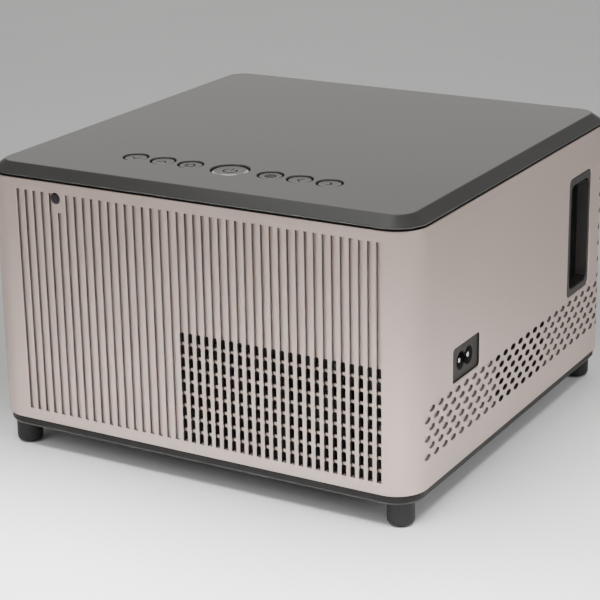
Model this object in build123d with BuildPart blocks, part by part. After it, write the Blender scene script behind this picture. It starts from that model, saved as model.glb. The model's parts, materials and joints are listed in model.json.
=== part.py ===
from build123d import *
import os
from math import atan2, cos, degrees, pi, radians, sin

os.makedirs("parts", exist_ok=True)

# A table-top projector with a tray disc drive. All sizes in millimetres.
# +Z is up and the origin is on the table, below the middle of the case.
# -Y is the grooved rear, +Y the front with the lens, +X the side with the sockets, -X the disc side.

# ---- Case ----
width = 216.0
depth = 216.0
corner_radius = 14.4
wall = 2.5
shell_height = 115.0
band_height = 4.5
band_inset = 1.0
shadow_gap = 1.0
cover_rise = 4.5
cover_bevel = 5.8
cover_plate = 2.5
skirt_depth = 3.0
skirt_wall = 2.0

# ---- Clearances ----
fit = 0.3
panel_gap = 0.2
running = 0.05

# Round pieces are many-sided prisms, so that the whole assembly keeps to few facets
round_sides = 24
cap_sides = 16
small_sides = 8
hex_sides = 6

half_x = width / 2
half_y = depth / 2
inner_x = half_x - wall
inner_y = half_y - wall

# ---- Feet ----
foot_height = 11.0
foot_diameter = 12.0
foot_inset = 10.3
foot_edge = 1.2
spigot_size = 5.0

# ---- Levels ----
shell_bottom = foot_height + band_height
shell_top = shell_bottom + shell_height
cover_edge = shell_top + shadow_gap
cover_top = cover_edge + cover_rise
cover_ceiling = cover_top - cover_plate

# ---- Rear channels and vent lattice ----
groove_width = 2.0
groove_depth = 1.2
groove_low_margin = 5.3
groove_high_margin = 5.0
first_groove = 20.6
last_groove = 15.36
wide_pitch = 4.44
close_pitch = 4.16
close_count = 24
vent_rows = 9
vent_pitch = 5.75
vent_hole_height = 4.4
groove_bottom = shell_bottom + groove_low_margin
groove_top = shell_top - groove_high_margin
close_start = half_x - last_groove - close_pitch * (close_count - 1)
close_places = [close_start + close_pitch * n for n in range(close_count)]
wide_count = round((close_start + half_x - first_groove) / wide_pitch)
wide_places = [close_start - wide_pitch * (wide_count - n) for n in range(wide_count)]
vent_x = (close_places[0] + close_places[-1]) / 2
vent_width = close_places[-1] - close_places[0] + groove_width
vent_z = groove_bottom + vent_hole_height / 2 + vent_pitch * (vent_rows - 1) / 2

# ---- Infrared receiver in the rear ----
receiver_side = 40.8
receiver_drop = 7.0
receiver_hole = 5.2
receiver_clear = 6.5
receiver_board_width = 16.0
receiver_board_height = 12.0
receiver_board_drop = 3.5
receiver_post = 5.5
receiver_post_radius = 2.0
receiver_post_spread = 6.0
board_thickness = 1.2
receiver_x = -half_x + receiver_side
receiver_z = shell_top - receiver_drop
receiver_board_y = -inner_y + receiver_post

# ---- Staggered holes in front of the speaker, part of the band round the sides ----
dimple_diameter = 5.0
dimple_pitch = 8.27
dimple_rows = 6
dimple_low = 14.5
speaker_y = 1.86
speaker_columns = 7
dimple_row_step = dimple_pitch / 2
speaker_z = shell_bottom + dimple_low + dimple_row_step * (dimple_rows - 1) / 2

# ---- Base ----
base_floor = 2.5
lip_height = 3.5
lip_wall = 2.0
screw_inset = 4.5
screw_spread = 28.0
column_size = 5.0
column_height = 26.0
boss_size = 4.1
insert_radius = 5.0
insert_length = 10.0
insert_bore = 3.175
insert_boss = 8.0
slot_width = 3.0
slot_length = 26.0
slot_pitch = 10.0
slot_count = 7
floor_top = foot_height + base_floor
lip_top = shell_bottom + lip_height
screw_x = inner_x - screw_inset
screw_y = half_y - screw_spread
screw_places = [(sx * screw_x, sy * screw_y) for sx in (-1, 1) for sy in (-1, 1)]
foot_x = half_x - foot_inset
foot_y = half_y - foot_inset

# ---- Keys ----
key_row = 36.5
key_spacing = 14.55
power_offset = 1.1
key_radius = 5.2
power_radius = 8.1
key_sink = 0.5
key_flange = 1.0
key_flange_height = 1.0
key_stem = 2.0
key_travel = 0.6
switch_size = 6.0
switch_height = 3.4
switch_nib = 0.5
switch_nib_radius = 1.7
power_gap = 20.4
key_board_depth = 7.3
key_board_width = 130.0
key_board_length = 21.0
key_board_inset = 4.0
key_board_boss = 3.0
key_y = -half_y + key_row
key_board_top = cover_ceiling - key_board_depth
nib_top = key_board_top + switch_height + switch_nib
left_keys = [power_offset - power_gap - key_spacing * n for n in (2, 1, 0)]
right_keys = [power_offset + power_gap + key_spacing * n for n in (0, 1, 2)]
key_names = ["down", "up", "home", "power", "settings", "left", "right"]
key_places = left_keys + [power_offset] + right_keys

# ---- Mains inlet ----
inlet_from_rear = 51.9
inlet_height = 46.4
inlet_width = 26.3
inlet_tall = 15.1
inlet_corner = 1.6
inlet_depth = 15.0
inlet_recess = 12.0
inlet_flange = 1.4
flange_thickness = 2.0
inlet_body_margin = 0.6
lobe_radius = 4.05
lobe_spread = 4.05
waist_width = 6.0
waist_height = 5.6
pin_radius = 1.2
pin_pitch = 8.6
pin_sunk = 1.4
inlet_y = -half_y + inlet_from_rear
inlet_z = shell_bottom + inlet_height

# ---- Bay for the sockets ----
bay_from_front = 38.25
bay_height = 67.75
bay_width = 26.5
bay_tall = 58.1
bay_corner = 3.0
bay_mouth_width = 20.5
bay_mouth_tall = 49.0
bay_mouth_lift = 0.75
bay_depth = 6.5
bay_wall = 2.0
bay_y = half_y - bay_from_front
bay_z = shell_bottom + bay_height
bay_mouth_z = bay_z + bay_mouth_lift
bay_floor_x = half_x - bay_depth
socket_length = 15.0
socket_thickness = 5.7
socket_proud = 1.0
socket_gap = 1.4
socket_shell = 0.5
socket_hole = 1.8
usb_tall = 13.2
hdmi_tall = 15.0
jack_tall = 7.6
socket_board_thickness = 1.6
socket_board_length = 20.0
socket_board_tall = 54.0
socket_board_y = bay_y + socket_thickness / 2
stack_low = bay_mouth_z - bay_mouth_tall / 2 + socket_gap / 2

# ---- Cooling fans ----
fan_size = 50.0
fan_depth = 15.0
fan_bore = 23.4
fan_hub = 10.5
fan_tip = 22.7
fan_blades = 7
blade_pitch = 35.0
blade_thickness = 1.2
blade_root = 1.0
fan_plate = 2.0
fan_plate_radius = 11.0
fan_strut = 2.2
fan_struts = 3
fan_axle = 1.5
fan_gap = 0.2
hub_length = 11.0
hub_gap = 0.5
blade_length = 9.5
fan_rear = -inner_y + fit
fan_front = fan_rear + fan_depth
fan_z = vent_z
fan_places = {"left": vent_x - (fan_size + fan_gap) / 2, "right": vent_x + (fan_size + fan_gap) / 2}

# ---- Light engine ----
lens_from_side = 80.0
lens_x = half_x - lens_from_side
lens_z = 60.0
engine_width = 110.0
engine_height = 72.0
engine_wall = 2.0
engine_straight = 61.0
engine_setback = 15.0
collar_length = 32.5
neck_size = 70.0
sink_gap = 1.8
sink_fin = 26.0
sink_base = 5.0
sink_width = 88.0
sink_height = 60.0
sink_shift = 12.0
sink_fins = 13
fin_thickness = 1.2
light_size = 30.0
light_board = 1.6
dome_radius = 9.0
engine_rear = fan_front + sink_gap + sink_fin + sink_base
engine_straight_end = engine_rear + engine_straight
engine_front = inner_y - engine_setback
neck_end = engine_front - collar_length
engine_bottom = lens_z - engine_height / 2
engine_top = lens_z + engine_height / 2
engine_left = lens_x - engine_width / 2
engine_right = lens_x + engine_width / 2
engine_leg = 4.0
engine_leg_inset = 7.0
engine_leg_x = engine_width / 2 - engine_leg_inset
engine_leg_y = (engine_rear + engine_leg_inset, engine_straight_end - engine_leg_inset)
panel_width = engine_width - 2 * engine_wall - 2 * fit
panel_height = engine_height - 2 * engine_wall - 2 * fit
condenser_radius = 29.6
condenser_edge = 4.0
condenser_dome = 12.0
crown_share = 0.55
condenser_back = 11.0
condenser_frame = 4.0
ray_plate = 2.0
picture_panel = 4.0
rear_plate_y = engine_rear + 43.0
picture_y = rear_plate_y + 6.0
front_plate_y = picture_y + 8.0

# ---- Projection lens ----
barrel_radius = 29.0
barrel_wall = 3.0
barrel_length = 38.0
barrel_front = inner_y - 5.5
barrel_lip = 1.0
barrel_lip_depth = 2.0
collar_radius = 32.0
ring_radius = 33.5
ring_length = 24.0
ring_front = inner_y - 1.5
ring_lug_width = 6.0
ring_lug_height = 3.0
ring_lug_depth = 2.0
glass_radius = barrel_radius - barrel_wall - fit
glass_edge = 3.0
glass_dome = 3.5
bezel_radius = 37.0
bezel_bore = 34.0
bezel_wall = 2.0
bezel_flange = 3.0
bezel_back = 7.5

# ---- Disc drive ----
drive_level = 100.0
drive_width = 129.0
drive_height = 12.7
drive_length = 126.4
drive_y = 0.0
sheet = 0.8
drawer_panel = 3.5
drawer_panel_width = 129.5
drawer_panel_height = 13.1
slot_clear = 0.5
tray_width = 122.4
tray_length = 123.0
tray_height = 9.2
tray_lift = 0.8
well_radius = 60.3
well_depth = 2.6
disc_inset = 61.5
rail_width = 1.9
rail_height = 5.0
rail_lift = 3.0
rail_length = 116.0
pillar_radius = 3.5
pillar_spread = 55.0
pillar_inset = 9.0
pillar_engine_gap = 4.5
drive_front = -half_x + drawer_panel + slot_clear
tray_front = -half_x + drawer_panel
pillar_x = (drive_front + pillar_inset, engine_left - pillar_engine_gap - pillar_radius)
tray_bottom = drive_level + sheet + tray_lift
tray_top = tray_bottom + tray_height
disc_x = tray_front + disc_inset
drawer_z = drive_level + drive_height / 2
eject_offset = 44.0
eject_width = 9.0
eject_height = 3.0
eject_flange = 1.0
eject_flange_depth = 0.8
eject_pocket = 1.7

# ---- Boards ----
post_radius = 3.0
main_board_length = 100.0
main_board_gap = 3.0
main_board_back = 5.0
main_board_wall_gap = 7.5
main_board_drive_gap = 3.6
main_board_left = drive_front + drive_length + main_board_drive_gap
main_board_right = inner_x - main_board_wall_gap
main_board_width = main_board_right - main_board_left
main_board_x = (main_board_left + main_board_right) / 2
main_board_y = engine_rear + main_board_back + main_board_length / 2
main_post_inset = 6.0
main_post_rear = 12.0
main_post_front = 5.0
main_post_x = (main_board_left + main_post_inset, engine_right - main_post_front)
main_post_y = (engine_rear + main_post_rear, engine_straight_end - main_post_front)
chip_size = 16.0
chip_height = 1.5
cooler_size = 40.0
cooler_base = 3.0
cooler_fins = 8
cooler_fin_height = 7.0
main_board_z = engine_top + main_board_gap
power_board_length = 100.0
power_board_gap = 5.5
power_board_back = 10.0
power_board_width = pillar_x[1] - pillar_x[0] - 2 * (pillar_radius + power_board_gap)
power_board_x = (pillar_x[0] + pillar_x[1]) / 2
power_board_y = -half_y + power_board_back + power_board_length / 2
power_post_height = 5.5
power_board_z = floor_top + power_post_height
transformer_size = 28.0
transformer_height = 24.0
transformer_core = 16.0
transformer_core_length = 32.0
capacitor_radius = 9.0
capacitor_height = 30.0

# ---- Speaker ----
speaker_width = 58.0
speaker_tall = 30.0
speaker_flange = 2.0
basket_depth = 7.0
magnet_radius = 9.0
magnet_depth = 5.0
cone_radius = 13.0
cone_throat = 5.0
cone_depth = 5.0

# ---- Disc mechanism, laid out from the disc's centre along a diagonal of the tray ----
mech_angle = 225.0
pocket_in = -16.0
pocket_out = 62.0
pocket_half = 20.5
pocket_floor = 1.0
rod_radius = 1.25
rod_places = (13.0, -17.2)
rod_seat = 1.5
rod_lift = 2.6
screw_place = -13.0
lead_radius = 1.5
lead_shaft = 0.75
feed_radius = 2.5
feed_length = 8.0
feed_shaft = 4.0
sled_start = 24.0
sled_inward = 10.0
sled_outward = 4.0
sled_high = 4.0
sled_lift = 0.8
sled_side_a = 15.5
sled_side_b = -19.4
eye_radius = 2.2
eye_height = 0.6
spindle_radius = 10.0
spindle_height = 3.0
spindle_shaft = 1.0
spindle_neck = 6.0
table_radius = 12.5
table_low = 4.4
table_height = 1.8
table_spigot = 7.4
table_spigot_height = 1.8
mech = Plane(
    origin=(disc_x, drive_y, 0),
    x_dir=(cos(radians(mech_angle)), sin(radians(mech_angle)), 0),
    z_dir=(0, 0, 1),
)
deck = tray_bottom + pocket_floor
rod_z = deck + rod_lift

# ---- Planes on the four outer faces: local x runs along the wall, local y is up ----
rear = Plane(origin=(0, -half_y, 0), x_dir=(1, 0, 0), z_dir=(0, -1, 0))
right = Plane(origin=(half_x, 0, 0), x_dir=(0, 1, 0), z_dir=(1, 0, 0))
left = Plane(origin=(-half_x, 0, 0), x_dir=(0, -1, 0), z_dir=(-1, 0, 0))
front = Plane(origin=(0, half_y, 0), x_dir=(-1, 0, 0), z_dir=(0, 1, 0))


def disc(radius, sides=round_sides, mode=Mode.ADD):
    """The outline of a round piece."""
    RegularPolygon(radius, sides, mode=mode)


def bore(radius, sides=round_sides, mode=Mode.ADD):
    """The outline of a round hole whose flats clear a shaft of that radius."""
    RegularPolygon(radius / cos(pi / sides), sides, mode=mode)


def to_front(x, y, z):
    """A plane at a point, looking to the front of the case, with local y up."""
    return Plane(origin=(x, y, z), x_dir=(-1, 0, 0), z_dir=(0, 1, 0))


def along_mech(start, side, height):
    """A plane across the disc mechanism's sliding direction."""
    return Plane(
        origin=mech.from_local_coords(Vector(start, side, height)),
        x_dir=(0, 0, 1),
        z_dir=mech.x_dir,
    )


def speaker_holes():
    """Centres of the open holes, along the wall and above the floor, in staggered rows."""
    places = []
    for row in range(dimple_rows):
        in_row = speaker_columns if row % 2 else speaker_columns - 1
        z = shell_bottom + dimple_low + dimple_row_step * row
        for column in range(in_row):
            places.append((speaker_y + dimple_pitch * (column - (in_row - 1) / 2), z))
    return places


# ---- Outer shell: one wrap-around moulding ----
with BuildPart() as outer_shell:
    with BuildSketch(Plane.XY.offset(shell_bottom)):
        RectangleRounded(width, depth, corner_radius)
        RectangleRounded(2 * inner_x, 2 * inner_y, corner_radius - wall, mode=Mode.SUBTRACT)
    extrude(amount=shell_height)
    # Screw columns on the side walls and posts behind the receiver window
    with BuildSketch(Plane.XY.offset(lip_top + fit)):
        with Locations(*screw_places):
            Rectangle(2 * column_size, 2 * column_size)
    extrude(amount=column_height)
    with BuildSketch(rear.offset(-wall)):
        with Locations(
            (receiver_x - receiver_post_spread, receiver_z - receiver_board_drop),
            (receiver_x + receiver_post_spread, receiver_z - receiver_board_drop),
        ):
            Rectangle(2 * receiver_post_radius, 2 * receiver_post_radius)
    extrude(amount=-receiver_post)
    # Upright channels of the rear; one stops short below the receiver window
    with BuildSketch(rear):
        for x in wide_places + close_places:
            near_receiver = abs(x - receiver_x) < wide_pitch / 2
            top = receiver_z - receiver_clear if near_receiver else groove_top
            with Locations((x, (groove_bottom + top) / 2)):
                Rectangle(groove_width, top - groove_bottom)
    extrude(amount=-groove_depth, mode=Mode.SUBTRACT)
    # Slots cut across from the inside meet the close channels and open the lattice
    with BuildSketch(rear.offset(-wall)):
        with Locations((vent_x, vent_z)):
            with GridLocations(1, vent_pitch, 1, vent_rows):
                Rectangle(vent_width, vent_hole_height)
    extrude(amount=wall - groove_depth, mode=Mode.SUBTRACT)
    with BuildSketch(rear):
        with Locations((receiver_x, receiver_z)):
            disc(receiver_hole / 2, cap_sides)
    extrude(amount=-wall, mode=Mode.SUBTRACT)
    # Sockets side
    with BuildSketch(right):
        with Locations((inlet_y, inlet_z)):
            RectangleRounded(inlet_width + 2 * panel_gap, inlet_tall + 2 * panel_gap, inlet_corner)
        with Locations((bay_y, bay_z)):
            RectangleRounded(bay_width + 2 * panel_gap, bay_tall + 2 * panel_gap, bay_corner)
        with Locations(*speaker_holes()):
            disc(dimple_diameter / 2, hex_sides)
    extrude(amount=-wall, mode=Mode.SUBTRACT)
    # Disc side
    with BuildSketch(left):
        with Locations((-drive_y, drawer_z)):
            Rectangle(drawer_panel_width + 2 * slot_clear, drawer_panel_height + 2 * slot_clear)
    extrude(amount=-wall, mode=Mode.SUBTRACT)
    # Lens opening
    with BuildSketch(front):
        with Locations((-lens_x, lens_z)):
            disc(bezel_radius + panel_gap)
    extrude(amount=-wall, mode=Mode.SUBTRACT)
outer_shell.part.label = "outer_shell"
export_step(outer_shell.part, "parts/outer_shell.step")

# ---- Top cover: bevelled plate with a skirt inside the shell ----
skirt_x = inner_x - fit
skirt_y = inner_y - fit
with BuildPart() as top_cover:
    with BuildSketch(Plane.XY.offset(cover_edge)):
        RectangleRounded(width, depth, corner_radius)
    extrude(amount=cover_rise, taper=degrees(atan2(cover_bevel, cover_rise)))
    with BuildSketch(Plane.XY.offset(cover_edge)):
        RectangleRounded(2 * skirt_x, 2 * skirt_y, corner_radius - wall - fit)
    extrude(amount=-(shadow_gap + skirt_depth))
    with BuildSketch(Plane.XY.offset(shell_top - skirt_depth)):
        RectangleRounded(
            2 * (skirt_x - skirt_wall), 2 * (skirt_y - skirt_wall), corner_radius - wall - fit - skirt_wall
        )
    extrude(amount=cover_ceiling - shell_top + skirt_depth, mode=Mode.SUBTRACT)
    with BuildSketch(Plane.XY.offset(cover_ceiling)):
        with Locations((power_offset, key_y)):
            with GridLocations(
                key_board_width - 2 * key_board_inset, key_board_length - 2 * key_board_inset, 2, 2
            ):
                Rectangle(2 * key_board_boss, 2 * key_board_boss)
    extrude(amount=-key_board_depth)
    with BuildSketch(Plane.XY.offset(cover_top)):
        for name, x in zip(key_names, key_places):
            with Locations((x, key_y)):
                disc((power_radius if name == "power" else key_radius) + fit, cap_sides)
    extrude(amount=-cover_plate, mode=Mode.SUBTRACT)
top_cover.part.label = "top_cover"
export_step(top_cover.part, "parts/top_cover.step")

# ---- Base plate ----
with BuildPart() as base_plate:
    with BuildSketch(Plane.XY.offset(foot_height)):
        RectangleRounded(width - 2 * band_inset, depth - 2 * band_inset, corner_radius - band_inset)
    extrude(amount=band_height)
    with BuildSketch(Plane.XY.offset(shell_bottom)):
        RectangleRounded(2 * skirt_x, 2 * skirt_y, corner_radius - wall - fit)
    extrude(amount=lip_height)
    with BuildSketch(Plane.XY.offset(floor_top)):
        RectangleRounded(
            2 * (skirt_x - lip_wall), 2 * (skirt_y - lip_wall), corner_radius - wall - fit - lip_wall
        )
    extrude(amount=lip_top - floor_top, mode=Mode.SUBTRACT)
    # Posts under the screw columns and the power board, legs for the light engine, boss for the insert
    with BuildSketch(Plane.XY.offset(floor_top)):
        with Locations(*screw_places):
            Rectangle(2 * boss_size, 2 * boss_size)
    extrude(amount=lip_top - floor_top)
    with BuildSketch(Plane.XY.offset(floor_top)):
        with Locations((power_board_x, power_board_y)):
            with GridLocations(power_board_width - 2 * post_radius, power_board_length - 2 * post_radius, 2, 2):
                Rectangle(2 * post_radius, 2 * post_radius)
    extrude(amount=power_post_height)
    with BuildSketch(Plane.XY.offset(floor_top)):
        for leg_y in engine_leg_y:
            with Locations((lens_x - engine_leg_x, leg_y), (lens_x + engine_leg_x, leg_y)):
                Rectangle(2 * engine_leg, 2 * engine_leg)
    extrude(amount=engine_bottom - floor_top)
    with BuildSketch(Plane.XY.offset(floor_top)):
        disc(insert_boss, small_sides)
    extrude(amount=insert_length - base_floor)
    with BuildSketch(Plane.XY.offset(foot_height)):
        disc(insert_radius, small_sides)
    extrude(amount=insert_length, mode=Mode.SUBTRACT)
    # Spigot holes of the feet and air slots
    with BuildSketch(Plane.XY.offset(foot_height)):
        with GridLocations(2 * foot_x, 2 * foot_y, 2, 2):
            Rectangle(spigot_size, spigot_size)
        with Locations((vent_x, engine_rear - sink_base - sink_fin / 2)):
            with GridLocations(slot_pitch, slot_length, slot_count, 1):
                Rectangle(slot_width, slot_length)
    extrude(amount=base_floor, mode=Mode.SUBTRACT)
base_plate.part.label = "base_plate"
export_step(base_plate.part, "parts/base_plate.step")

# ---- Feet: rubber studs, chamfered at the floor, each with a spigot in the base ----
with BuildPart() as feet:
    with BuildSketch(Plane.XY.offset(foot_height)):
        with GridLocations(2 * foot_x, 2 * foot_y, 2, 2):
            disc(foot_diameter / 2, cap_sides)
    extrude(amount=-foot_height)
    chamfer(feet.edges().group_by(Axis.Z)[0], length=foot_edge)
    with BuildSketch(Plane.XY.offset(foot_height)):
        with GridLocations(2 * foot_x, 2 * foot_y, 2, 2):
            Rectangle(spigot_size, spigot_size)
    extrude(amount=base_floor)
feet.part.label = "feet"
export_step(feet.part, "parts/feet.step")

# ---- Brass insert for a tripod or a bracket ----
with BuildPart() as tripod_insert:
    with BuildSketch(Plane.XY.offset(foot_height)):
        disc(insert_radius, small_sides)
        Circle(insert_bore, mode=Mode.SUBTRACT)
    extrude(amount=insert_length)
tripod_insert.part.label = "tripod_insert"
export_step(tripod_insert.part, "parts/tripod_insert.step")

# ---- Key board with one tact switch under each key ----
with BuildPart() as key_board:
    with BuildSketch(Plane.XY.offset(key_board_top)):
        with Locations((power_offset, key_y)):
            Rectangle(key_board_width, key_board_length)
    extrude(amount=-board_thickness)
key_board.part.label = "key_board"
export_step(key_board.part, "parts/key_board.step")

with BuildPart() as key_switches:
    with BuildSketch(Plane.XY.offset(key_board_top)):
        for x in key_places:
            with Locations((x, key_y)):
                Rectangle(switch_size, switch_size)
    extrude(amount=switch_height)
    with BuildSketch(Plane.XY.offset(key_board_top + switch_height)):
        for x in key_places:
            with Locations((x, key_y)):
                Rectangle(2 * switch_nib_radius, 2 * switch_nib_radius)
    extrude(amount=switch_nib)
key_switches.part.label = "key_switches"
export_step(key_switches.part, "parts/key_switches.step")

# ---- Keys: cap in its dished hole, flange under the plate, stem above the switch ----
for name, x in zip(key_names, key_places):
    cap = power_radius if name == "power" else key_radius
    flange_top = cover_ceiling - fit
    with BuildPart() as key:
        with BuildSketch(Plane.XY.offset(flange_top)):
            with Locations((x, key_y)):
                disc(cap, cap_sides)
        extrude(amount=cover_top - key_sink - flange_top)
        with BuildSketch(Plane.XY.offset(flange_top)):
            with Locations((x, key_y)):
                disc(cap + key_flange, small_sides)
        extrude(amount=-key_flange_height)
        with BuildSketch(Plane.XY.offset(flange_top - key_flange_height)):
            with Locations((x, key_y)):
                Rectangle(2 * key_stem, 2 * key_stem)
        extrude(amount=-(flange_top - key_flange_height - nib_top - key_travel - running))
    key.part.label = name + "_key"
    export_step(key.part, "parts/" + name + "_key.step")

# ---- Infrared window and receiver ----
with BuildPart() as receiver_window:
    with BuildSketch(rear.offset(-panel_gap)):
        with Locations((receiver_x, receiver_z)):
            disc(receiver_hole / 2 - running, cap_sides)
    extrude(amount=-(wall + fit - panel_gap))
    with BuildSketch(rear.offset(-wall - fit)):
        with Locations((receiver_x, receiver_z)):
            disc(receiver_hole / 2 + 1, small_sides)
    extrude(amount=-1)
receiver_window.part.label = "receiver_window"
export_step(receiver_window.part, "parts/receiver_window.step")

with BuildPart() as receiver_board:
    with BuildSketch(to_front(receiver_x, receiver_board_y, receiver_z - receiver_board_drop)):
        Rectangle(receiver_board_width, receiver_board_height)
    extrude(amount=board_thickness)
    with BuildSketch(to_front(receiver_x, receiver_board_y, receiver_z)):
        Rectangle(switch_size, switch_size / 2)
    extrude(amount=-switch_height)
receiver_board.part.label = "receiver_board"
export_step(receiver_board.part, "parts/receiver_board.step")

# ---- Mains inlet with two pins ----
with BuildPart() as mains_inlet:
    with BuildSketch(right):
        with Locations((inlet_y, inlet_z)):
            RectangleRounded(inlet_width, inlet_tall, inlet_corner)
    extrude(amount=-(wall + fit))
    with BuildSketch(right.offset(-wall - fit)):
        with Locations((inlet_y, inlet_z)):
            Rectangle(inlet_width + 2 * inlet_flange, inlet_tall + 2 * inlet_flange)
    extrude(amount=-flange_thickness)
    with BuildSketch(right.offset(-wall - fit)):
        with Locations((inlet_y, inlet_z)):
            Rectangle(inlet_width - 2 * inlet_body_margin, inlet_tall - 2 * inlet_body_margin)
    extrude(amount=-(inlet_depth - wall - fit))
    with BuildSketch(right):
        with Locations((inlet_y - lobe_spread, inlet_z), (inlet_y + lobe_spread, inlet_z)):
            disc(lobe_radius, cap_sides)
        with Locations((inlet_y, inlet_z)):
            Rectangle(waist_width, waist_height)
    extrude(amount=-inlet_recess, mode=Mode.SUBTRACT)
    with BuildSketch(right):
        with Locations((inlet_y - pin_pitch / 2, inlet_z), (inlet_y + pin_pitch / 2, inlet_z)):
            disc(pin_radius, small_sides)
    extrude(amount=-inlet_depth, mode=Mode.SUBTRACT)
mains_inlet.part.label = "mains_inlet"
export_step(mains_inlet.part, "parts/mains_inlet.step")

with BuildPart() as inlet_pins:
    with BuildSketch(right.offset(-pin_sunk)):
        with Locations((inlet_y - pin_pitch / 2, inlet_z), (inlet_y + pin_pitch / 2, inlet_z)):
            disc(pin_radius, small_sides)
    extrude(amount=-(inlet_depth - pin_sunk))
inlet_pins.part.label = "inlet_pins"
export_step(inlet_pins.part, "parts/inlet_pins.step")

# ---- Socket bay: frame flush with the shell, shallow tray behind it, sockets through its floor ----
socket_names = ["usb", "hdmi", "video_jack", "sound_jack"]
socket_talls = [usb_tall, hdmi_tall, jack_tall, jack_tall]
socket_lows = [stack_low + sum(socket_talls[:n]) + socket_gap * n for n in range(len(socket_talls))]
with BuildPart() as socket_bay:
    with BuildSketch(right):
        with Locations((bay_y, bay_z)):
            RectangleRounded(bay_width, bay_tall, bay_corner)
    extrude(amount=-(wall + fit))
    with BuildSketch(right.offset(-wall - fit)):
        with Locations((bay_y, bay_z)):
            Rectangle(bay_width + 2 * inlet_flange, bay_tall + 2 * inlet_flange)
    extrude(amount=-flange_thickness)
    with BuildSketch(right.offset(-wall - fit)):
        with Locations((bay_y, bay_mouth_z)):
            Rectangle(bay_mouth_width + 2 * bay_wall, bay_mouth_tall + 2 * bay_wall)
    extrude(amount=-(bay_depth + bay_wall - wall - fit))
    with BuildSketch(right):
        with Locations((bay_y, bay_mouth_z)):
            RectangleRounded(bay_mouth_width, bay_mouth_tall, bay_corner)
    extrude(amount=-bay_depth, mode=Mode.SUBTRACT)
    with BuildSketch(right.offset(-bay_depth)):
        for low, tall in zip(socket_lows, socket_talls):
            with Locations((bay_y, low + tall / 2)):
                Rectangle(socket_thickness + 2 * panel_gap, tall + 2 * panel_gap)
    extrude(amount=-bay_wall, mode=Mode.SUBTRACT)
socket_bay.part.label = "socket_bay"
export_step(socket_bay.part, "parts/socket_bay.step")

for name, low, tall in zip(socket_names, socket_lows, socket_talls):
    mouth = right.offset(socket_proud - bay_depth)
    with BuildPart() as socket:
        with BuildSketch(mouth):
            with Locations((bay_y, low + tall / 2)):
                Rectangle(socket_thickness, tall)
        extrude(amount=-socket_length)
        with BuildSketch(mouth):
            with Locations((bay_y, low + tall / 2)):
                if tall == jack_tall:
                    disc(socket_hole, small_sides)
                else:
                    Rectangle(socket_thickness - 2 * socket_shell, tall - 2 * socket_shell)
        extrude(amount=-(socket_length - socket_gap), mode=Mode.SUBTRACT)
        if tall != jack_tall:
            # Tongue that carries the contacts
            with BuildSketch(mouth.offset(-socket_proud)):
                with Locations((bay_y, low + tall / 2)):
                    Rectangle(socket_hole, tall - 4 * socket_gap)
            extrude(amount=-(socket_length - socket_proud))
    socket.part.label = name + "_socket"
    export_step(socket.part, "parts/" + name + "_socket.step")

with BuildPart() as socket_board:
    with BuildSketch(to_front(bay_floor_x - bay_wall - socket_board_length / 2, socket_board_y, bay_mouth_z)):
        Rectangle(socket_board_length, socket_board_tall)
    extrude(amount=socket_board_thickness)
socket_board.part.label = "socket_board"
export_step(socket_board.part, "parts/socket_board.step")

# ---- Cooling fans: frame with axle, and impeller with pitched blades ----
hub_rear = fan_rear + fan_plate + hub_gap
blade_chord = blade_length / cos(radians(blade_pitch))
for side, x in fan_places.items():
    with BuildPart() as fan_frame:
        with BuildSketch(to_front(x, fan_rear, fan_z)):
            Rectangle(fan_size, fan_size)
            disc(fan_bore, mode=Mode.SUBTRACT)
        extrude(amount=fan_depth)
        with BuildSketch(to_front(x, fan_rear, fan_z)):
            disc(fan_plate_radius, small_sides)
            with PolarLocations(fan_bore / 2, fan_struts):
                Rectangle(fan_bore + fan_strut, fan_strut)
        extrude(amount=fan_plate)
        with BuildSketch(to_front(x, fan_rear, fan_z)):
            disc(fan_axle, small_sides)
        extrude(amount=fan_plate + hub_length)
    fan_frame.part.label = side + "_fan_frame"
    export_step(fan_frame.part, "parts/" + side + "_fan_frame.step")

    with BuildPart() as impeller:
        with BuildSketch(to_front(x, hub_rear, fan_z)):
            disc(fan_hub, cap_sides)
        extrude(amount=hub_length)
        for blade in range(fan_blades):
            turn = radians(360 / fan_blades * blade)
            outwards = Vector(cos(turn), 0, sin(turn))
            sideways = Vector(-sin(turn), 0, cos(turn))
            root = Plane(
                origin=Vector(x, hub_rear + hub_length / 2, fan_z) + outwards * (fan_hub - blade_root),
                x_dir=Vector(0, cos(radians(blade_pitch)), 0) + sideways * sin(radians(blade_pitch)),
                z_dir=outwards,
            )
            with BuildSketch(root):
                Rectangle(blade_chord, blade_thickness)
            extrude(amount=fan_tip - fan_hub + blade_root)
        with BuildSketch(to_front(x, hub_rear, fan_z)):
            bore(fan_axle + running, small_sides)
        extrude(amount=hub_length, mode=Mode.SUBTRACT)
    impeller.part.label = side + "_impeller"
    export_step(impeller.part, "parts/" + side + "_impeller.step")

# ---- Light source and its heat sink ----
sink_x = lens_x + sink_shift
with BuildPart() as light_heat_sink:
    with BuildSketch(to_front(sink_x, engine_rear - sink_base, lens_z)):
        Rectangle(sink_width, sink_height)
    extrude(amount=sink_base)
    with BuildSketch(to_front(sink_x, engine_rear - sink_base, lens_z)):
        with GridLocations((sink_width - fin_thickness) / (sink_fins - 1), 1, sink_fins, 1):
            Rectangle(fin_thickness, sink_height)
    extrude(amount=-sink_fin)
light_heat_sink.part.label = "light_heat_sink"
export_step(light_heat_sink.part, "parts/light_heat_sink.step")

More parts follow.
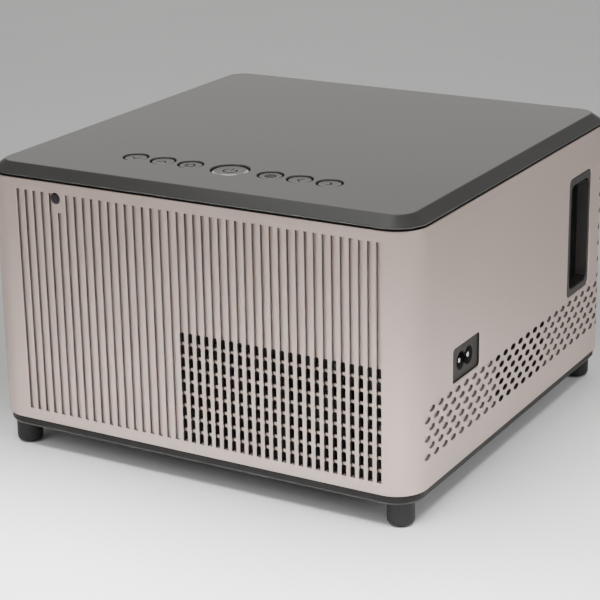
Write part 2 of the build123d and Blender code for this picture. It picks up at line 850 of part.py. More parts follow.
with BuildPart() as light_module:
    with BuildSketch(to_front(lens_x, engine_rear, lens_z)):
        Rectangle(light_size, light_size)
    extrude(amount=light_board)
    with BuildSketch(to_front(lens_x, engine_rear + light_board, lens_z)):
        disc(dome_radius, small_sides)
    extrude(amount=dome_radius / 2)
light_module.part.label = "light_module"
export_step(light_module.part, "parts/light_module.step")

# ---- Light engine housing: box for the panels, then a taper to the lens collar ----
half_inside = engine_width / 2 - engine_wall
with BuildPart() as engine_housing:
    with BuildSketch(Plane.XY.offset(engine_bottom)):
        with BuildLine():
            Polyline(
                (engine_left, engine_rear),
                (engine_left, engine_straight_end),
                (lens_x - neck_size / 2, neck_end),
                (lens_x + neck_size / 2, neck_end),
                (engine_right, engine_straight_end),
                (engine_right, engine_rear),
                close=True,
            )
        make_face()
    extrude(amount=engine_height)
    with BuildSketch(to_front(lens_x, neck_end, lens_z)):
        disc(collar_radius)
    extrude(amount=engine_front - neck_end)
    with BuildSketch(Plane.XY.offset(engine_bottom + engine_wall)):
        with BuildLine():
            Polyline(
                (lens_x - half_inside, engine_rear + engine_wall),
                (lens_x - half_inside, engine_straight_end),
                (lens_x - neck_size / 2 + engine_wall, neck_end - engine_wall),
                (lens_x + neck_size / 2 - engine_wall, neck_end - engine_wall),
                (lens_x + half_inside, engine_straight_end),
                (lens_x + half_inside, engine_rear + engine_wall),
                close=True,
            )
        make_face()
    extrude(amount=engine_height - 2 * engine_wall, mode=Mode.SUBTRACT)
    with BuildSketch(to_front(lens_x, neck_end - 2 * engine_wall, lens_z)):
        bore(barrel_radius + running)
    extrude(amount=engine_front - neck_end + 2 * engine_wall, mode=Mode.SUBTRACT)
    with BuildSketch(to_front(lens_x, engine_rear, lens_z)):
        Rectangle(light_size + 2 * fit, light_size + 2 * fit)
    extrude(amount=engine_wall, mode=Mode.SUBTRACT)
    # Posts under the main board
    with BuildSketch(Plane.XY.offset(engine_top)):
        for post_y in main_post_y:
            with Locations((main_post_x[0], post_y), (main_post_x[1], post_y)):
                Rectangle(2 * post_radius, 2 * post_radius)
    extrude(amount=main_board_gap)
engine_housing.part.label = "engine_housing"
export_step(engine_housing.part, "parts/engine_housing.step")

# ---- Condenser lens in its holder ----
condenser_y = engine_rear + condenser_back
with BuildPart() as condenser_holder:
    with BuildSketch(to_front(lens_x, condenser_y, lens_z)):
        Rectangle(panel_width, panel_height)
        disc(condenser_radius + fit, mode=Mode.SUBTRACT)
    extrude(amount=condenser_frame)
condenser_holder.part.label = "condenser_holder"
export_step(condenser_holder.part, "parts/condenser_holder.step")

with BuildPart() as condenser_lens:
    with BuildSketch(to_front(lens_x, condenser_y, lens_z)):
        disc(condenser_radius, cap_sides)
    extrude(amount=condenser_edge + condenser_dome)
    crown = condenser_lens.faces().sort_by(Axis.Y)[-1]
    chamfer(crown.edges(), length=condenser_dome, length2=condenser_radius * (1 - crown_share))
condenser_lens.part.label = "condenser_lens"
export_step(condenser_lens.part, "parts/condenser_lens.step")

# ---- Ray plates and the picture panel between them ----
for name, y, thick in (
    ("rear_ray_plate", rear_plate_y, ray_plate),
    ("picture_panel", picture_y, picture_panel),
    ("front_ray_plate", front_plate_y, ray_plate),
):
    with BuildPart() as flat_panel:
        with BuildSketch(to_front(lens_x, y, lens_z)):
            Rectangle(panel_width, panel_height)
        extrude(amount=thick)
    flat_panel.part.label = name
    export_step(flat_panel.part, "parts/" + name + ".step")

# ---- Projection lens: barrel that slides in the collar, two glasses, focus ring, front bezel ----
barrel_inner = barrel_radius - barrel_wall
barrel_rear = barrel_front - barrel_length
with BuildPart() as lens_barrel:
    with BuildSketch(to_front(lens_x, barrel_rear, lens_z)):
        disc(barrel_radius)
        disc(barrel_inner, mode=Mode.SUBTRACT)
    extrude(amount=barrel_length)
    with BuildSketch(to_front(lens_x, barrel_front - barrel_lip_depth, lens_z)):
        disc(barrel_radius - running)
        disc(barrel_inner - barrel_lip, mode=Mode.SUBTRACT)
    extrude(amount=barrel_lip_depth)
lens_barrel.part.label = "lens_barrel"
export_step(lens_barrel.part, "parts/lens_barrel.step")

front_glass_top = barrel_front - barrel_lip_depth - fit
rear_glass_top = barrel_rear + glass_edge + glass_dome + fit
for name, top in (("front_glass", front_glass_top), ("rear_glass", rear_glass_top)):
    with BuildPart() as glass:
        with BuildSketch(to_front(lens_x, top - glass_dome - glass_edge, lens_z)):
            disc(glass_radius)
        extrude(amount=glass_edge + glass_dome)
        crown = glass.faces().sort_by(Axis.Y)[-1]
        chamfer(crown.edges(), length=glass_dome)
    glass.part.label = name
    export_step(glass.part, "parts/" + name + ".step")

ring_rear = ring_front - ring_length
ring_step = engine_front + fit
with BuildPart() as focus_ring:
    with BuildSketch(to_front(lens_x, ring_rear, lens_z)):
        disc(ring_radius)
        bore(collar_radius + running, mode=Mode.SUBTRACT)
    extrude(amount=ring_length)
    with BuildSketch(to_front(lens_x, ring_step, lens_z)):
        disc(ring_radius)
        bore(barrel_radius + fit, mode=Mode.SUBTRACT)
    extrude(amount=ring_front - ring_step)
    with BuildSketch(to_front(lens_x, ring_front, lens_z)):
        with Locations((0, ring_radius - ring_lug_height)):
            Rectangle(ring_lug_width, ring_lug_height)
    extrude(amount=ring_lug_depth)
focus_ring.part.label = "focus_ring"
export_step(focus_ring.part, "parts/focus_ring.step")

flange_front = inner_y - fit
with BuildPart() as lens_bezel:
    with BuildSketch(to_front(lens_x, inner_y - bezel_back, lens_z)):
        disc(bezel_bore + bezel_wall)
    extrude(amount=bezel_back)
    with BuildSketch(to_front(lens_x, flange_front - flange_thickness, lens_z)):
        disc(bezel_radius + bezel_flange)
    extrude(amount=flange_thickness)
    with BuildSketch(to_front(lens_x, flange_front, lens_z)):
        disc(bezel_radius)
    extrude(amount=half_y - flange_front)
    with BuildSketch(to_front(lens_x, inner_y - bezel_back, lens_z)):
        bore(ring_radius + fit)
    extrude(amount=bezel_back + wall, mode=Mode.SUBTRACT)
lens_bezel.part.label = "lens_bezel"
export_step(lens_bezel.part, "parts/lens_bezel.step")

# ---- Boards ----
with BuildPart() as main_board:
    with BuildSketch(Plane.XY.offset(main_board_z)):
        with Locations((main_board_x, main_board_y)):
            Rectangle(main_board_width, main_board_length)
    extrude(amount=socket_board_thickness)
    with BuildSketch(Plane.XY.offset(main_board_z + socket_board_thickness)):
        with Locations((main_board_x, main_board_y)):
            with GridLocations(2 * chip_size, 2 * chip_size, 2, 2):
                Rectangle(chip_size, chip_size)
    extrude(amount=chip_height)
main_board.part.label = "main_board"
export_step(main_board.part, "parts/main_board.step")

with BuildPart() as processor_cooler:
    with BuildSketch(Plane.XY.offset(main_board_z + socket_board_thickness + chip_height)):
        with Locations((main_board_x, main_board_y)):
            Rectangle(cooler_size, cooler_size)
    extrude(amount=cooler_base)
    with BuildSketch(Plane.XY.offset(main_board_z + socket_board_thickness + chip_height + cooler_base)):
        with Locations((main_board_x, main_board_y)):
            with GridLocations((cooler_size - fin_thickness) / (cooler_fins - 1), 1, cooler_fins, 1):
                Rectangle(fin_thickness, cooler_size)
    extrude(amount=cooler_fin_height)
processor_cooler.part.label = "processor_cooler"
export_step(processor_cooler.part, "parts/processor_cooler.step")

power_board_top = power_board_z + socket_board_thickness
with BuildPart() as power_board:
    with BuildSketch(Plane.XY.offset(power_board_z)):
        with Locations((power_board_x, power_board_y)):
            Rectangle(power_board_width, power_board_length)
    extrude(amount=socket_board_thickness)
power_board.part.label = "power_board"
export_step(power_board.part, "parts/power_board.step")

with BuildPart() as transformer:
    with BuildSketch(Plane.XY.offset(power_board_top)):
        with Locations((power_board_x, power_board_y)):
            Rectangle(transformer_size, transformer_size)
    extrude(amount=transformer_height)
    with BuildSketch(Plane.XY.offset(power_board_top + (transformer_height - transformer_core) / 2)):
        with Locations((power_board_x, power_board_y)):
            Rectangle(transformer_core, transformer_core_length)
    extrude(amount=transformer_core)
transformer.part.label = "transformer"
export_step(transformer.part, "parts/transformer.step")

with BuildPart() as capacitor:
    with BuildSketch(Plane.XY.offset(power_board_top)):
        with Locations((power_board_x, power_board_y - transformer_core_length)):
            disc(capacitor_radius, small_sides)
    extrude(amount=capacitor_height)
capacitor.part.label = "capacitor"
export_step(capacitor.part, "parts/capacitor.step")

# ---- Speaker behind the open holes ----
speaker_mouth = right.offset(-wall - fit)
with BuildPart() as speaker:
    with BuildSketch(speaker_mouth):
        with Locations((speaker_y, speaker_z)):
            Rectangle(speaker_width, speaker_tall)
    extrude(amount=-speaker_flange)
    with BuildSketch(speaker_mouth.offset(-speaker_flange)):
        with Locations((speaker_y, speaker_z)):
            Rectangle(speaker_width - 4 * speaker_flange, speaker_tall - 2 * speaker_flange)
    extrude(amount=-basket_depth)
    with BuildSketch(speaker_mouth.offset(-speaker_flange - basket_depth)):
        with Locations((speaker_y, speaker_z)):
            disc(magnet_radius, small_sides)
    extrude(amount=-magnet_depth)
    with BuildSketch(speaker_mouth):
        with Locations((speaker_y, speaker_z)):
            disc(cone_radius, cap_sides)
    extrude(amount=-cone_depth / 2, mode=Mode.SUBTRACT)
    with BuildSketch(speaker_mouth):
        with Locations((speaker_y, speaker_z)):
            disc(cone_throat, small_sides)
    extrude(amount=-cone_depth, mode=Mode.SUBTRACT)
speaker.part.label = "speaker"
export_step(speaker.part, "parts/speaker.step")

# ---- Disc drive: chassis on four pillars, and its cover ----
with BuildPart() as drive_pillars:
    with BuildSketch(Plane.XY.offset(floor_top)):
        for x in pillar_x:
            with Locations((x, drive_y - pillar_spread), (x, drive_y + pillar_spread)):
                disc(pillar_radius, hex_sides)
    extrude(amount=drive_level - floor_top)
drive_pillars.part.label = "drive_pillars"
export_step(drive_pillars.part, "parts/drive_pillars.step")

drive_x = drive_front + drive_length / 2
with BuildPart() as drive_chassis:
    with BuildSketch(Plane.XY.offset(drive_level)):
        with Locations((drive_x, drive_y)):
            Rectangle(drive_length, drive_width)
    extrude(amount=drive_height - sheet)
    with BuildSketch(Plane.XY.offset(drive_level + sheet)):
        with Locations((drive_x - sheet, drive_y)):
            Rectangle(drive_length, drive_width - 2 * sheet)
    extrude(amount=drive_height, mode=Mode.SUBTRACT)
drive_chassis.part.label = "drive_chassis"
export_step(drive_chassis.part, "parts/drive_chassis.step")

with BuildPart() as drive_cover:
    with BuildSketch(Plane.XY.offset(drive_level + drive_height - sheet)):
        with Locations((drive_x, drive_y)):
            Rectangle(drive_length, drive_width)
    extrude(amount=sheet)
drive_cover.part.label = "drive_cover"
export_step(drive_cover.part, "parts/drive_cover.step")

rail_y = drive_width / 2 - sheet - fit - rail_width / 2
with BuildPart() as drive_rails:
    with BuildSketch(Plane.XY.offset(drive_level + rail_lift)):
        with Locations((drive_front + fit + rail_length / 2, drive_y)):
            with GridLocations(1, 2 * rail_y, 1, 2):
                Rectangle(rail_length, rail_width)
    extrude(amount=rail_height)
drive_rails.part.label = "drive_rails"
export_step(drive_rails.part, "parts/drive_rails.step")

# ---- Drawer: tray with the disc well, and the pocket of the mechanism ----
with BuildPart() as drawer_tray:
    with BuildSketch(Plane.XY.offset(tray_bottom)):
        with Locations((tray_front + tray_length / 2, drive_y)):
            Rectangle(tray_length, tray_width)
    extrude(amount=tray_height)
    with BuildSketch(Plane.XY.offset(tray_top)):
        with Locations((disc_x, drive_y)):
            disc(well_radius, 2 * round_sides)
    extrude(amount=-well_depth, mode=Mode.SUBTRACT)
    with BuildSketch(mech.offset(tray_top)):
        with Locations(((pocket_in + pocket_out) / 2, 0)):
            Rectangle(pocket_out - pocket_in, 2 * pocket_half)
    extrude(amount=-(tray_height - pocket_floor), mode=Mode.SUBTRACT)
    # Seats of the rods and the bearing of the lead screw, in the ends of the pocket
    for place in rod_places:
        with BuildSketch(along_mech(pocket_in - rod_seat, place, rod_z)):
            disc(rod_radius, small_sides)
        extrude(amount=pocket_out - pocket_in + 2 * rod_seat, mode=Mode.SUBTRACT)
    with BuildSketch(along_mech(pocket_out, screw_place, rod_z)):
        bore(lead_radius + running, small_sides)
    extrude(amount=rod_seat, mode=Mode.SUBTRACT)
drawer_tray.part.label = "drawer_tray"
export_step(drawer_tray.part, "parts/drawer_tray.step")

with BuildPart() as drawer_front:
    with BuildSketch(left):
        with Locations((-drive_y, drawer_z)):
            Rectangle(drawer_panel_width, drawer_panel_height)
        with Locations((-drive_y - eject_offset, drawer_z)):
            Rectangle(eject_width + 2 * panel_gap, eject_height + 2 * panel_gap, mode=Mode.SUBTRACT)
    extrude(amount=-drawer_panel)
    with BuildSketch(left.offset(-drawer_panel)):
        with Locations((-drive_y - eject_offset, drawer_z)):
            Rectangle(
                eject_width + 2 * (eject_flange + panel_gap), eject_height + 2 * (eject_flange + panel_gap)
            )
    extrude(amount=eject_pocket, mode=Mode.SUBTRACT)
drawer_front.part.label = "drawer_front"
export_step(drawer_front.part, "parts/drawer_front.step")

with BuildPart() as eject_key:
    with BuildSketch(left):
        with Locations((-drive_y - eject_offset, drawer_z)):
            Rectangle(eject_width, eject_height)
    extrude(amount=-(drawer_panel - eject_pocket + fit))
    with BuildSketch(left.offset(-(drawer_panel - eject_pocket + fit))):
        with Locations((-drive_y - eject_offset, drawer_z)):
            Rectangle(eject_width + 2 * eject_flange, eject_height + 2 * eject_flange)
    extrude(amount=-eject_flange_depth)
eject_key.part.label = "eject_key"
export_step(eject_key.part, "parts/eject_key.step")

# ---- Spindle motor and hub ----
with BuildPart() as spindle_motor:
    with BuildSketch(mech.offset(deck)):
        disc(spindle_radius, cap_sides)
        bore(spindle_shaft + running, small_sides, mode=Mode.SUBTRACT)
    extrude(amount=spindle_height)
spindle_motor.part.label = "spindle_motor"
export_step(spindle_motor.part, "parts/spindle_motor.step")

with BuildPart() as spindle_hub:
    with BuildSketch(mech.offset(deck + fit)):
        disc(spindle_shaft, small_sides)
    extrude(amount=table_low - fit)
    with BuildSketch(mech.offset(deck + spindle_height + fit)):
        disc(spindle_neck, small_sides)
    extrude(amount=table_low - spindle_height - fit)
    with BuildSketch(mech.offset(deck + table_low)):
        disc(table_radius)
    extrude(amount=table_height)
    with BuildSketch(mech.offset(deck + table_low + table_height)):
        disc(table_spigot, cap_sides)
    extrude(amount=table_spigot_height)
spindle_hub.part.label = "spindle_hub"
export_step(spindle_hub.part, "parts/spindle_hub.step")

# ---- Pickup sled on two rods, with its lead screw and feed motor ----
with BuildPart() as guide_rods:
    for place in rod_places:
        with BuildSketch(along_mech(pocket_in - rod_seat, place, rod_z)):
            disc(rod_radius, small_sides)
        extrude(amount=pocket_out - pocket_in + 2 * rod_seat)
guide_rods.part.label = "guide_rods"
export_step(guide_rods.part, "parts/guide_rods.step")

with BuildPart() as pickup_sled:
    with BuildSketch(mech.offset(deck + sled_lift)):
        with Locations((sled_start + (sled_outward - sled_inward) / 2, (sled_side_a + sled_side_b) / 2)):
            Rectangle(sled_inward + sled_outward, sled_side_a - sled_side_b)
    extrude(amount=sled_high)
    with BuildSketch(mech.offset(deck + sled_lift + sled_high)):
        with Locations((sled_start, 0)):
            disc(eye_radius, small_sides)
    extrude(amount=eye_height)
    for place in rod_places:
        with BuildSketch(along_mech(pocket_in, place, rod_z)):
            disc(rod_radius + running, small_sides)
        extrude(amount=pocket_out - pocket_in, mode=Mode.SUBTRACT)
    with BuildSketch(along_mech(pocket_in, screw_place, rod_z)):
        bore(lead_radius + panel_gap, small_sides)
    extrude(amount=pocket_out - pocket_in, mode=Mode.SUBTRACT)
pickup_sled.part.label = "pickup_sled"
export_step(pickup_sled.part, "parts/pickup_sled.step")

with BuildPart() as feed_motor:
    with BuildSketch(along_mech(pocket_in, screw_place, rod_z)):
        disc(feed_radius, small_sides)
        bore(lead_shaft + running, small_sides, mode=Mode.SUBTRACT)
    extrude(amount=feed_length)
feed_motor.part.label = "feed_motor"
export_step(feed_motor.part, "parts/feed_motor.step")

with BuildPart() as lead_screw:
    with BuildSketch(along_mech(pocket_in + feed_length - feed_shaft, screw_place, rod_z)):
        disc(lead_shaft, small_sides)
    extrude(amount=feed_shaft + fit)
    with BuildSketch(along_mech(pocket_in + feed_length + fit, screw_place, rod_z)):
        disc(lead_radius, small_sides)
    extrude(amount=pocket_out - pocket_in - feed_length - 2 * fit + rod_seat)
lead_screw.part.label = "lead_screw"
export_step(lead_screw.part, "parts/lead_screw.step")
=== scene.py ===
# %% [markdown]
# # A table-top projector with a disc drawer
# The engineering model comes in first and stays where it is. Each cell below dresses one piece
# of it: a short text says what the piece is and why it is made this way, and the code after it
# makes the piece and prints what it made. All sizes are in millimetres until the mesh is built.

# %% Load the engineering model
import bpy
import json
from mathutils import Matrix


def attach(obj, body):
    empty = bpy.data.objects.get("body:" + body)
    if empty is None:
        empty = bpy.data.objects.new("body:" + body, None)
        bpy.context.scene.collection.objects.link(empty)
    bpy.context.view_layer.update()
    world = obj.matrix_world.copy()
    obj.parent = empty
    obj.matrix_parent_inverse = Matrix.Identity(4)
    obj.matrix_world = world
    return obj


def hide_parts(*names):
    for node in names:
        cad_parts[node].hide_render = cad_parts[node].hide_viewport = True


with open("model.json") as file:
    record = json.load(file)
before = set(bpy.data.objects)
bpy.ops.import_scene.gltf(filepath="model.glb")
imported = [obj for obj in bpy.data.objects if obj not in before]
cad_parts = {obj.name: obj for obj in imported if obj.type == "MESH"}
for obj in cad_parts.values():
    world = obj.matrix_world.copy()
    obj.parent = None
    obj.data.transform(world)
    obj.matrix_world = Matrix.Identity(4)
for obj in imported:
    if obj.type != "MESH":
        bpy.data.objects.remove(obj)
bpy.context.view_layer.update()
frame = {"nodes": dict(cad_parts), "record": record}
nodes = frame["nodes"]

# %% Tools from Blender and Python
import json
import math
import bmesh
import bpy
from mathutils import Matrix, Vector

MM = 0.001
CASE = "case"

# %% [markdown]
# ## The camera
# The photograph was taken from a little above, off one corner, with a long lens. The camera's
# place and its three axes were solved from the case's own edges, so they are written as they are.

# %% Camera
camera_place = (0.4258, -0.7440, 0.3479)
camera_data = bpy.data.cameras.new("photo_camera")
camera_data.lens = 113.27
camera_data.sensor_width = 36.0
camera = bpy.data.objects.new("photo_camera", camera_data)
bpy.context.scene.collection.objects.link(camera)
to_right = Vector((0.867384, 0.497361, -0.016634))
to_top = Vector((-0.147649, 0.289128, 0.945835))
to_back = Vector((0.475231, -0.817947, 0.324220))
turn = Matrix((to_right, to_top, to_back)).transposed().to_4x4()
camera.matrix_world = Matrix.Translation(camera_place) @ turn
bpy.context.scene.camera = camera
print("camera", round(camera.location.length, 3), "m from the origin")

# %% [markdown]
# ## Finishes
# Real surfaces are never one flat colour. Moulded plastic has a fine grain that breaks up its
# shine, and paint drifts a little in tone over a hand's width. Both effects are wanted on nearly
# every piece, so they make one node group: built once, then placed in each material with its own
# values. It puts out a height for the grain and a tone for the drift, and the material decides
# what to do with them.

# %% Shared effect: grain of a moulded or painted surface
def new_group(name, inputs, outputs):
    """An empty node group with its sockets. Gives the group and its input and output nodes."""
    group = bpy.data.node_groups.new(name, "ShaderNodeTree")
    for label, kind, value in inputs:
        socket = group.interface.new_socket(name=label, in_out="INPUT", socket_type=kind)
        socket.default_value = value
    for label, kind in outputs:
        group.interface.new_socket(name=label, in_out="OUTPUT", socket_type=kind)
    return group, group.nodes.new("NodeGroupInput"), group.nodes.new("NodeGroupOutput")


FLOAT = "NodeSocketFloat"
grain, g_in, g_out = new_group("surface_grain", [("Size", FLOAT, 900.0), ("Drift", FLOAT, 9.0)],
                               [("Height", FLOAT), ("Tone", FLOAT)])
place = grain.nodes.new("ShaderNodeTexCoord")
fine = grain.nodes.new("ShaderNodeTexNoise")
fine.inputs["Detail"].default_value = 3.0
broad = grain.nodes.new("ShaderNodeTexNoise")
broad.inputs["Detail"].default_value = 2.0
for noise, socket in ((fine, "Size"), (broad, "Drift")):
    grain.links.new(place.outputs["Object"], noise.inputs["Vector"])
    grain.links.new(g_in.outputs[socket], noise.inputs["Scale"])
grain.links.new(fine.outputs["Fac"], g_out.inputs["Height"])
grain.links.new(broad.outputs["Fac"], g_out.inputs["Tone"])
print("group", grain.name, "with", len(grain.nodes), "nodes")


# %% A material with grain: two close tones, two close roughnesses and a fine bump
def finish(name, tones, rough, size=900.0, drift=9.0, bump=0.05, step=0.0002, **plain):
    """A Principled material: constants on its own sockets, changing values through nodes."""
    material = bpy.data.materials.new(name)
    material.use_nodes = True
    tree = material.node_tree
    shader = tree.nodes["Principled BSDF"]
    for socket, value in plain.items():
        shader.inputs[socket.replace("_", " ")].default_value = value
    effect = tree.nodes.new("ShaderNodeGroup")
    effect.node_tree = grain
    effect.inputs["Size"].default_value = size
    effect.inputs["Drift"].default_value = drift
    ramp = tree.nodes.new("ShaderNodeValToRGB")
    ramp.color_ramp.elements[0].position = 0.3
    ramp.color_ramp.elements[1].position = 0.7
    ramp.color_ramp.elements[0].color = (*tones[0], 1.0)
    ramp.color_ramp.elements[1].color = (*tones[1], 1.0)
    tree.links.new(effect.outputs["Tone"], ramp.inputs["Fac"])
    tree.links.new(ramp.outputs["Color"], shader.inputs["Base Color"])
    spread = tree.nodes.new("ShaderNodeMapRange")
    spread.inputs["To Min"].default_value = rough[0]
    spread.inputs["To Max"].default_value = rough[1]
    tree.links.new(effect.outputs["Height"], spread.inputs["Value"])
    tree.links.new(spread.outputs["Result"], shader.inputs["Roughness"])
    relief = tree.nodes.new("ShaderNodeBump")
    relief.inputs["Strength"].default_value = bump
    relief.inputs["Distance"].default_value = step
    tree.links.new(effect.outputs["Height"], relief.inputs["Height"])
    tree.links.new(relief.outputs["Normal"], shader.inputs["Normal"])
    return material


# %% [markdown]
# The shell is sprayed with a champagne metallic paint. Half metal, half plastic gives its soft
# shine, where full metal would look like unpainted sheet. The lid is a smoke-grey semi-gloss
# plastic, and the base is dark and rougher. The walls of the channels and holes get a darker,
# duller tone, which is painted shade.

# %% Finishes of the case
shell_paint = finish("champagne_paint", ((0.475, 0.378, 0.333), (0.502, 0.402, 0.356)),
                     (0.36, 0.44), size=2400.0, Metallic=0.5)
# A darker, duller tone for the walls of channels and dimples: painted shade.
painted_recess_shade = finish("painted_shade_in_recess", ((0.115, 0.100, 0.092), (0.14, 0.122, 0.112)),
                      (0.5, 0.62), bump=0.1)
lid_black = finish("lid_smoke_gloss", ((0.045, 0.044, 0.041), (0.052, 0.051, 0.047)),
                   (0.22, 0.27), size=1500.0, bump=0.02)
base_black = finish("base_fine_texture", ((0.007, 0.0066, 0.0062), (0.010, 0.0095, 0.009)),
                    (0.42, 0.56), bump=0.2, Specular_IOR_Level=0.24)
# The base's lower bevel: a lighter tone that is a painted highlight, with a little more real shine.
base_edge_highlight = finish("base_edge_painted_highlight", ((0.016, 0.015, 0.014), (0.020, 0.019, 0.018)),
                   (0.35, 0.45), bump=0.1, Specular_IOR_Level=0.4)
foot_rubber = finish("foot_rubber", ((0.013, 0.013, 0.013), (0.019, 0.019, 0.018)),
                     (0.55, 0.7), bump=0.25, Specular_IOR_Level=0.3)
# Black plastic of the inner parts, also laid as painted shade in the shell's holes and the inlet's
# well.
deep_black = finish("black_plastic_and_painted_shade", ((0.012, 0.012, 0.012), (0.018, 0.018, 0.017)),
                    (0.45, 0.6), bump=0.15)
symbol_ink = finish("symbol_ink", ((0.008, 0.008, 0.008), (0.012, 0.012, 0.012)),
                    (0.7, 0.8), Specular_IOR_Level=0.02)
print("finishes of the case:", len(bpy.data.materials))

# %% Finishes of the inlet and the bay
plate_grey = finish("inlet_plate_grey", ((0.023, 0.0185, 0.0165), (0.029, 0.0235, 0.0205)),
                    (0.48, 0.6), bump=0.15, Specular_IOR_Level=0.25)
frame_grey = finish("bay_frame_grey", ((0.020, 0.017, 0.016), (0.026, 0.022, 0.020)),
                    (0.38, 0.5), bump=0.1, Specular_IOR_Level=0.45)
bay_satin = finish("bay_corner_satin", ((0.020, 0.019, 0.018), (0.026, 0.025, 0.024)),
                   (0.16, 0.24), bump=0.05)
# Inside the bay, one moulding: the floor's near-black is painted shade, and the far wall's lighter
# grey is painted light.
bay_floor_shade = finish("bay_floor_painted_shade", ((0.003, 0.003, 0.003), (0.005, 0.005, 0.0048)),
                   (0.6, 0.7), bump=0.1, Specular_IOR_Level=0.1)
bay_far_wall_light = finish("bay_far_wall_painted_light", ((0.044, 0.041, 0.039), (0.052, 0.049, 0.046)),
                  (0.4, 0.5), bump=0.1)
print("with the bay's:", len(bpy.data.materials))

# %% Metals, glass and inner parts
bright_steel = finish("bright_steel", ((0.62, 0.62, 0.62), (0.70, 0.70, 0.70)), (0.18, 0.3),
                      Metallic=1.0)
dark_nickel = finish("dark_nickel", ((0.16, 0.16, 0.165), (0.21, 0.21, 0.215)), (0.3, 0.42),
                     Metallic=1.0)
dull_alloy = finish("cast_alloy", ((0.55, 0.56, 0.57), (0.63, 0.64, 0.65)), (0.35, 0.5),
                    bump=0.2, Metallic=1.0)
brass = finish("turned_brass", ((0.72, 0.55, 0.25), (0.80, 0.62, 0.30)), (0.2, 0.32),
               Metallic=1.0)
board_green = finish("board_green", ((0.008, 0.07, 0.03), (0.012, 0.10, 0.045)), (0.3, 0.42),
                     drift=60.0)
lamp_white = finish("ceramic_white", ((0.75, 0.75, 0.68), (0.83, 0.83, 0.76)), (0.4, 0.5))
tape_yellow = finish("winding_tape", ((0.55, 0.38, 0.04), (0.65, 0.46, 0.06)), (0.4, 0.5))
dark_window = finish("dark_window", ((0.010, 0.006, 0.008), (0.014, 0.009, 0.011)),
                     (0.06, 0.1), bump=0.01)
lens_glass = finish("coated_glass", ((0.02, 0.02, 0.035), (0.03, 0.025, 0.05)), (0.02, 0.04),
                    bump=0.0, Coat_Weight=1.0)
print("with the metals and glass:", len(bpy.data.materials))

# %% The model's own parts get their finish by slot
slot_finish = {
    "shell": shell_paint, "lid": lid_black, "base": base_black, "rubber": foot_rubber,
    "brass": brass, "board": board_green, "dark": deep_black, "window": dark_window,
    "steel": bright_steel, "alloy": dull_alloy, "white": lamp_white, "glass": lens_glass,
    "yellow": tape_yellow,
}
for part in frame["record"]["subparts"]:
    skin = nodes[part["node"]].data.materials
    skin.clear()
    skin.append(slot_finish[part["material_slot"]])

# %% [markdown]
# ## Building in mesh code
# Nearly every piece here is a moulding: an outline that is repeated at several heights, or a
# profile turned about an axis. Two small helpers make those two kinds, and a third takes holes
# out of them with an exact cut. A fourth gives some faces of a piece one more finish.

# %% Helper: place a mesh with creases kept
def piece(name, points, faces, body, material, sharp=32.0):
    """A mesh from points in millimetres that rides on a body of the model."""
    mesh = bpy.data.meshes.new(name)
    mesh.from_pydata([Vector(point) * MM for point in points], [], faces)
    work = bmesh.new()
    work.from_mesh(mesh)
    bmesh.ops.recalc_face_normals(work, faces=work.faces)
    work.to_mesh(mesh)
    work.free()
    obj = bpy.data.objects.new(name, mesh)
    bpy.context.scene.collection.objects.link(obj)
    if material:
        mesh.materials.append(material)
    soften(obj, sharp)
    if body:
        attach(obj, body)
    return obj


def soften(obj, sharp=32.0):
    """Smooth shading that keeps creases, with flat faces kept flat beside small roundings."""
    mesh = obj.data
    mesh.polygons.foreach_set("use_smooth", [True] * len(mesh.polygons))
    mesh.set_sharp_from_angle(angle=math.radians(sharp))
    weigh = obj.modifiers.get("flat_first") or obj.modifiers.new("flat_first", "WEIGHTED_NORMAL")
    weigh.keep_sharp = True
    weigh.weight = 90


# %% Helpers: stack outlines, turn a profile
def stacked(rings, closed=True):
    """Points and faces of a skin over outlines with the same number of points."""
    count = len(rings[0])
    points = [point for ring in rings for point in ring]
    faces = []
    for level in range(len(rings) - 1):
        low, high = level * count, (level + 1) * count
        for n in range(count):
            m = (n + 1) % count
            faces.append((low + n, low + m, high + m, high + n))
    if closed:
        faces.append(tuple(range(count))[::-1])
        faces.append(tuple(range(len(points) - count, len(points))))
    return points, faces


def rounded(width, depth, radius, steps=8):
    """A rectangle with round corners about the origin, anticlockwise."""
    corners = [(1, 1, 0), (-1, 1, 90), (-1, -1, 180), (1, -1, 270)]
    outline = []
    for sx, sy, start in corners:
        cx, cy = sx * (width / 2 - radius), sy * (depth / 2 - radius)
        for step in range(steps + 1):
            angle = math.radians(start + 90 * step / steps)
            outline.append((cx + radius * math.cos(angle), cy + radius * math.sin(angle)))
    return outline


def turned(profile, sides, place):
    """A closed profile of (radius, height) turned into a skin; place maps x, y, z into the case."""
    points, faces = [], []
    for radius, height in profile:
        for n in range(sides):
            angle = 2 * math.pi * n / sides
            points.append(place(radius * math.cos(angle), radius * math.sin(angle), height))
    for level in range(len(profile)):
        after = (level + 1) % len(profile)
        for n in range(sides):
            m = (n + 1) % sides
            faces.append((level * sides + n, level * sides + m,
                          after * sides + m, after * sides + n))
    return points, faces


